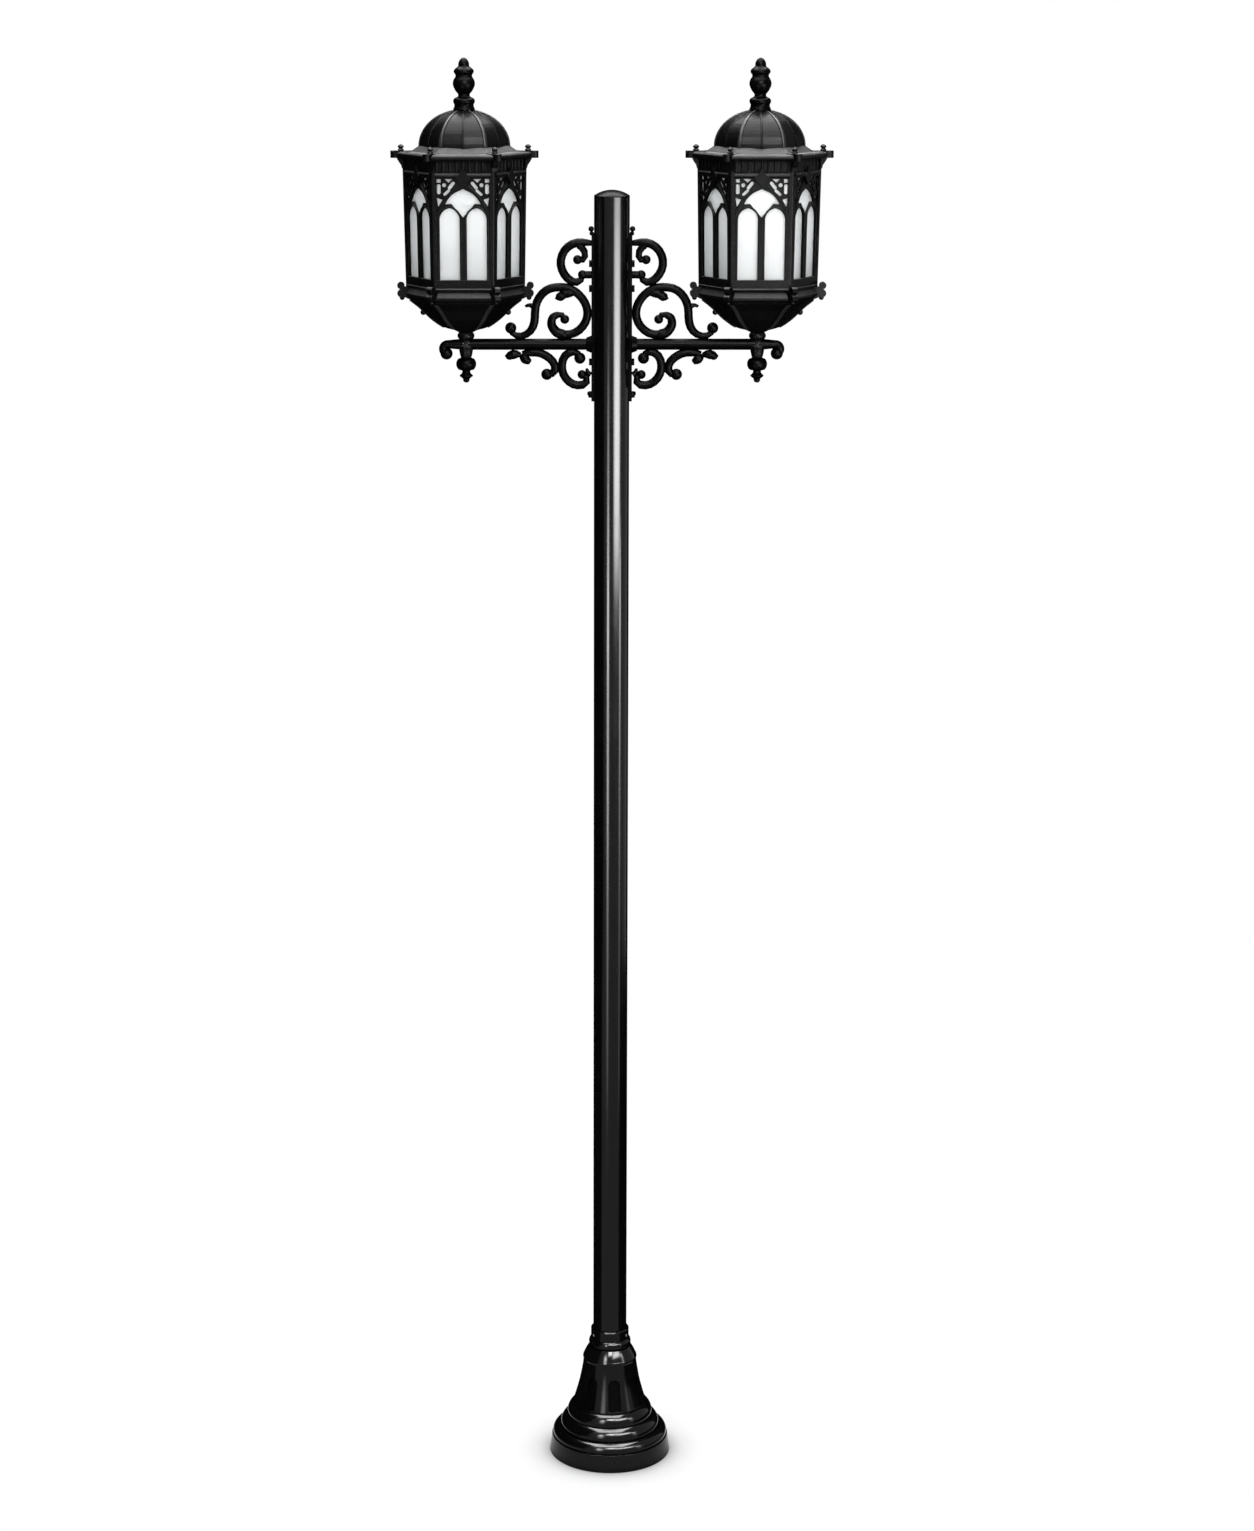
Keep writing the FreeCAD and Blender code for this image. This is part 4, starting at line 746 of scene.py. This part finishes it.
def lamp(name, place, aim, width, height, radiance):
    """A soft box that lights every surface."""
    data = bpy.data.lights.new(name, "AREA")
    data.shape = "RECTANGLE"
    data.size, data.size_y = width, height
    data.energy = radiance * math.pi * width * height
    item = link(bpy.data.objects.new(name, data))
    item.location = place
    item.rotation_euler = (Vector(aim) - Vector(place)).to_track_quat("-Z", "Y").to_euler()
    item.visible_camera = False


def round_post(azimuth, distance, height):
    """A place round the post: azimuth zero is on the camera's side, and positive is to its right."""
    turn = math.radians(azimuth)
    return Vector((distance * math.sin(turn), -distance * math.cos(turn), height))


def mirror_only(item):
    """Leaves an object in the reflections alone."""
    item.visible_camera = False
    item.visible_diffuse = False
    item.visible_transmission = False
    item.visible_shadow = False


def card(name, corners, material):
    """A flat or bent card from rows of corners, seen in the reflections alone."""
    mesh = bmesh.new()
    rows = [[mesh.verts.new(corner) for corner in row] for row in corners]
    for below, above in zip(rows, rows[1:]):
        for k in range(len(below) - 1):
            mesh.faces.new((below[k], below[k + 1], above[k + 1], above[k]))
    data = bpy.data.meshes.new(name)
    mesh.to_mesh(data)
    mesh.free()
    data.materials.append(material)
    item = link(bpy.data.objects.new(name, data))
    mirror_only(item)
    return item


def glow_card(name, azimuth, distance, width, stations):
    """A tall soft box, brightest along its middle, from stations of height and radiance."""
    full = max(radiance for _, radiance in stations)
    low, high = stations[0][0], stations[-1][0]
    half = width / 2
    t = Tree(name)
    climb = t.math("DIVIDE", t.math("SUBTRACT", t.coordinate("Y"), low), high - low)
    stops = [((height - low) / (high - low), radiance / full) for height, radiance in stations]
    side = t.math("DIVIDE", t.coordinate("X"), half)
    middle = t.math("SUBTRACT", 1.0, t.math("POWER", t.math("ABSOLUTE", side), 3.0))
    glow = t.nodes.new("ShaderNodeEmission")
    glow.inputs["Strength"].default_value = full
    t.wire(t.math("MULTIPLY", t.ramp(climb, *stops), middle), glow.inputs["Color"])
    t.wire(glow.outputs[0], t.nodes["Material Output"].inputs["Surface"])
    rows = [[Vector((-half, height, 0)), Vector((half, height, 0))] for height in (low, high)]
    item = card(name, rows, t.material)
    item.location = round_post(azimuth, distance, 0)
    item.rotation_euler = (math.radians(90), 0, math.radians(azimuth))


def dark_cards():
    """Black cloth behind the post and to its left, and on the floor behind it, for dark edges."""
    t = Tree("black_cloth")
    weave = t.ramp(t.noise(60.0, 2.0), (0.3, 0.001), (0.7, 0.002))
    t.wire(weave, t.shader.inputs["Base Color"])
    t.set(Roughness=1.0, Specular_IOR_Level=0.0)
    wall = [[round_post(turn, CLOTH_DISTANCE, height) for turn in CLOTH_WALL_TURNS]
            for height in (0.0, CLOTH_HEIGHT)]
    card("cloth_wall", wall, t.material)
    ground = [[round_post(turn, reach, CLOTH_LIFT) for turn in CLOTH_FLOOR_TURNS]
              for reach in (CLOTH_GAP, CLOTH_DISTANCE)]
    card("cloth_floor", ground, t.material)


def ceiling():
    """A broad soft box overhead, for what slopes upward."""
    t = Tree("ceiling")
    glow = t.nodes.new("ShaderNodeEmission")
    glow.inputs["Strength"].default_value = CEILING_STRENGTH
    spread = t.ramp(t.noise(0.4, 1.0), (0.3, 0.85), (0.7, 1.0))
    t.wire(spread, glow.inputs["Color"])
    t.wire(glow.outputs[0], t.nodes["Material Output"].inputs["Surface"])
    corners = [[Vector((across, along, CEILING_HEIGHT)) for across in (-CEILING_HALF, CEILING_HALF)]
               for along in CEILING_REACH]
    card("ceiling", corners, t.material)


def studio():
    floor()
    studio_world()
    lamp("key", place=(-2.2, -3.2, 5.6), aim=(0, 0, 1.6), width=2.4, height=2.4, radiance=2.2)
    lamp("top", place=(0.2, 0.6, 6.5), aim=(0, 0, 1.5), width=3.0, height=3.0, radiance=1.6)
    dark_cards()
    glow_card("strip_left", azimuth=-21, distance=STRIP_DISTANCE, width=0.6, stations=LEFT_STRIP)
    glow_card("strip_right", azimuth=60, distance=STRIP_DISTANCE, width=0.5, stations=RIGHT_STRIP)
    glow_card("window", azimuth=35, distance=STRIP_DISTANCE, width=2.1, stations=WINDOW)
    glow_card("front_sky", azimuth=10, distance=SKY_DISTANCE, width=4.0, stations=FRONT_SKY)
    ceiling()


def camera():
    data = bpy.data.cameras.new("camera")
    data.sensor_width = 36
    data.lens = CAMERA_LENS
    data.shift_x = CAMERA_SHIFT
    data.clip_end = 200
    item = link(bpy.data.objects.new("camera", data))
    item.location = CAMERA_PLACE
    item.rotation_euler = (math.radians(90 - CAMERA_TILT), 0, 0)
    bpy.context.scene.camera = item


studio()
camera()
bpy.context.scene.view_settings.view_transform = "Standard"
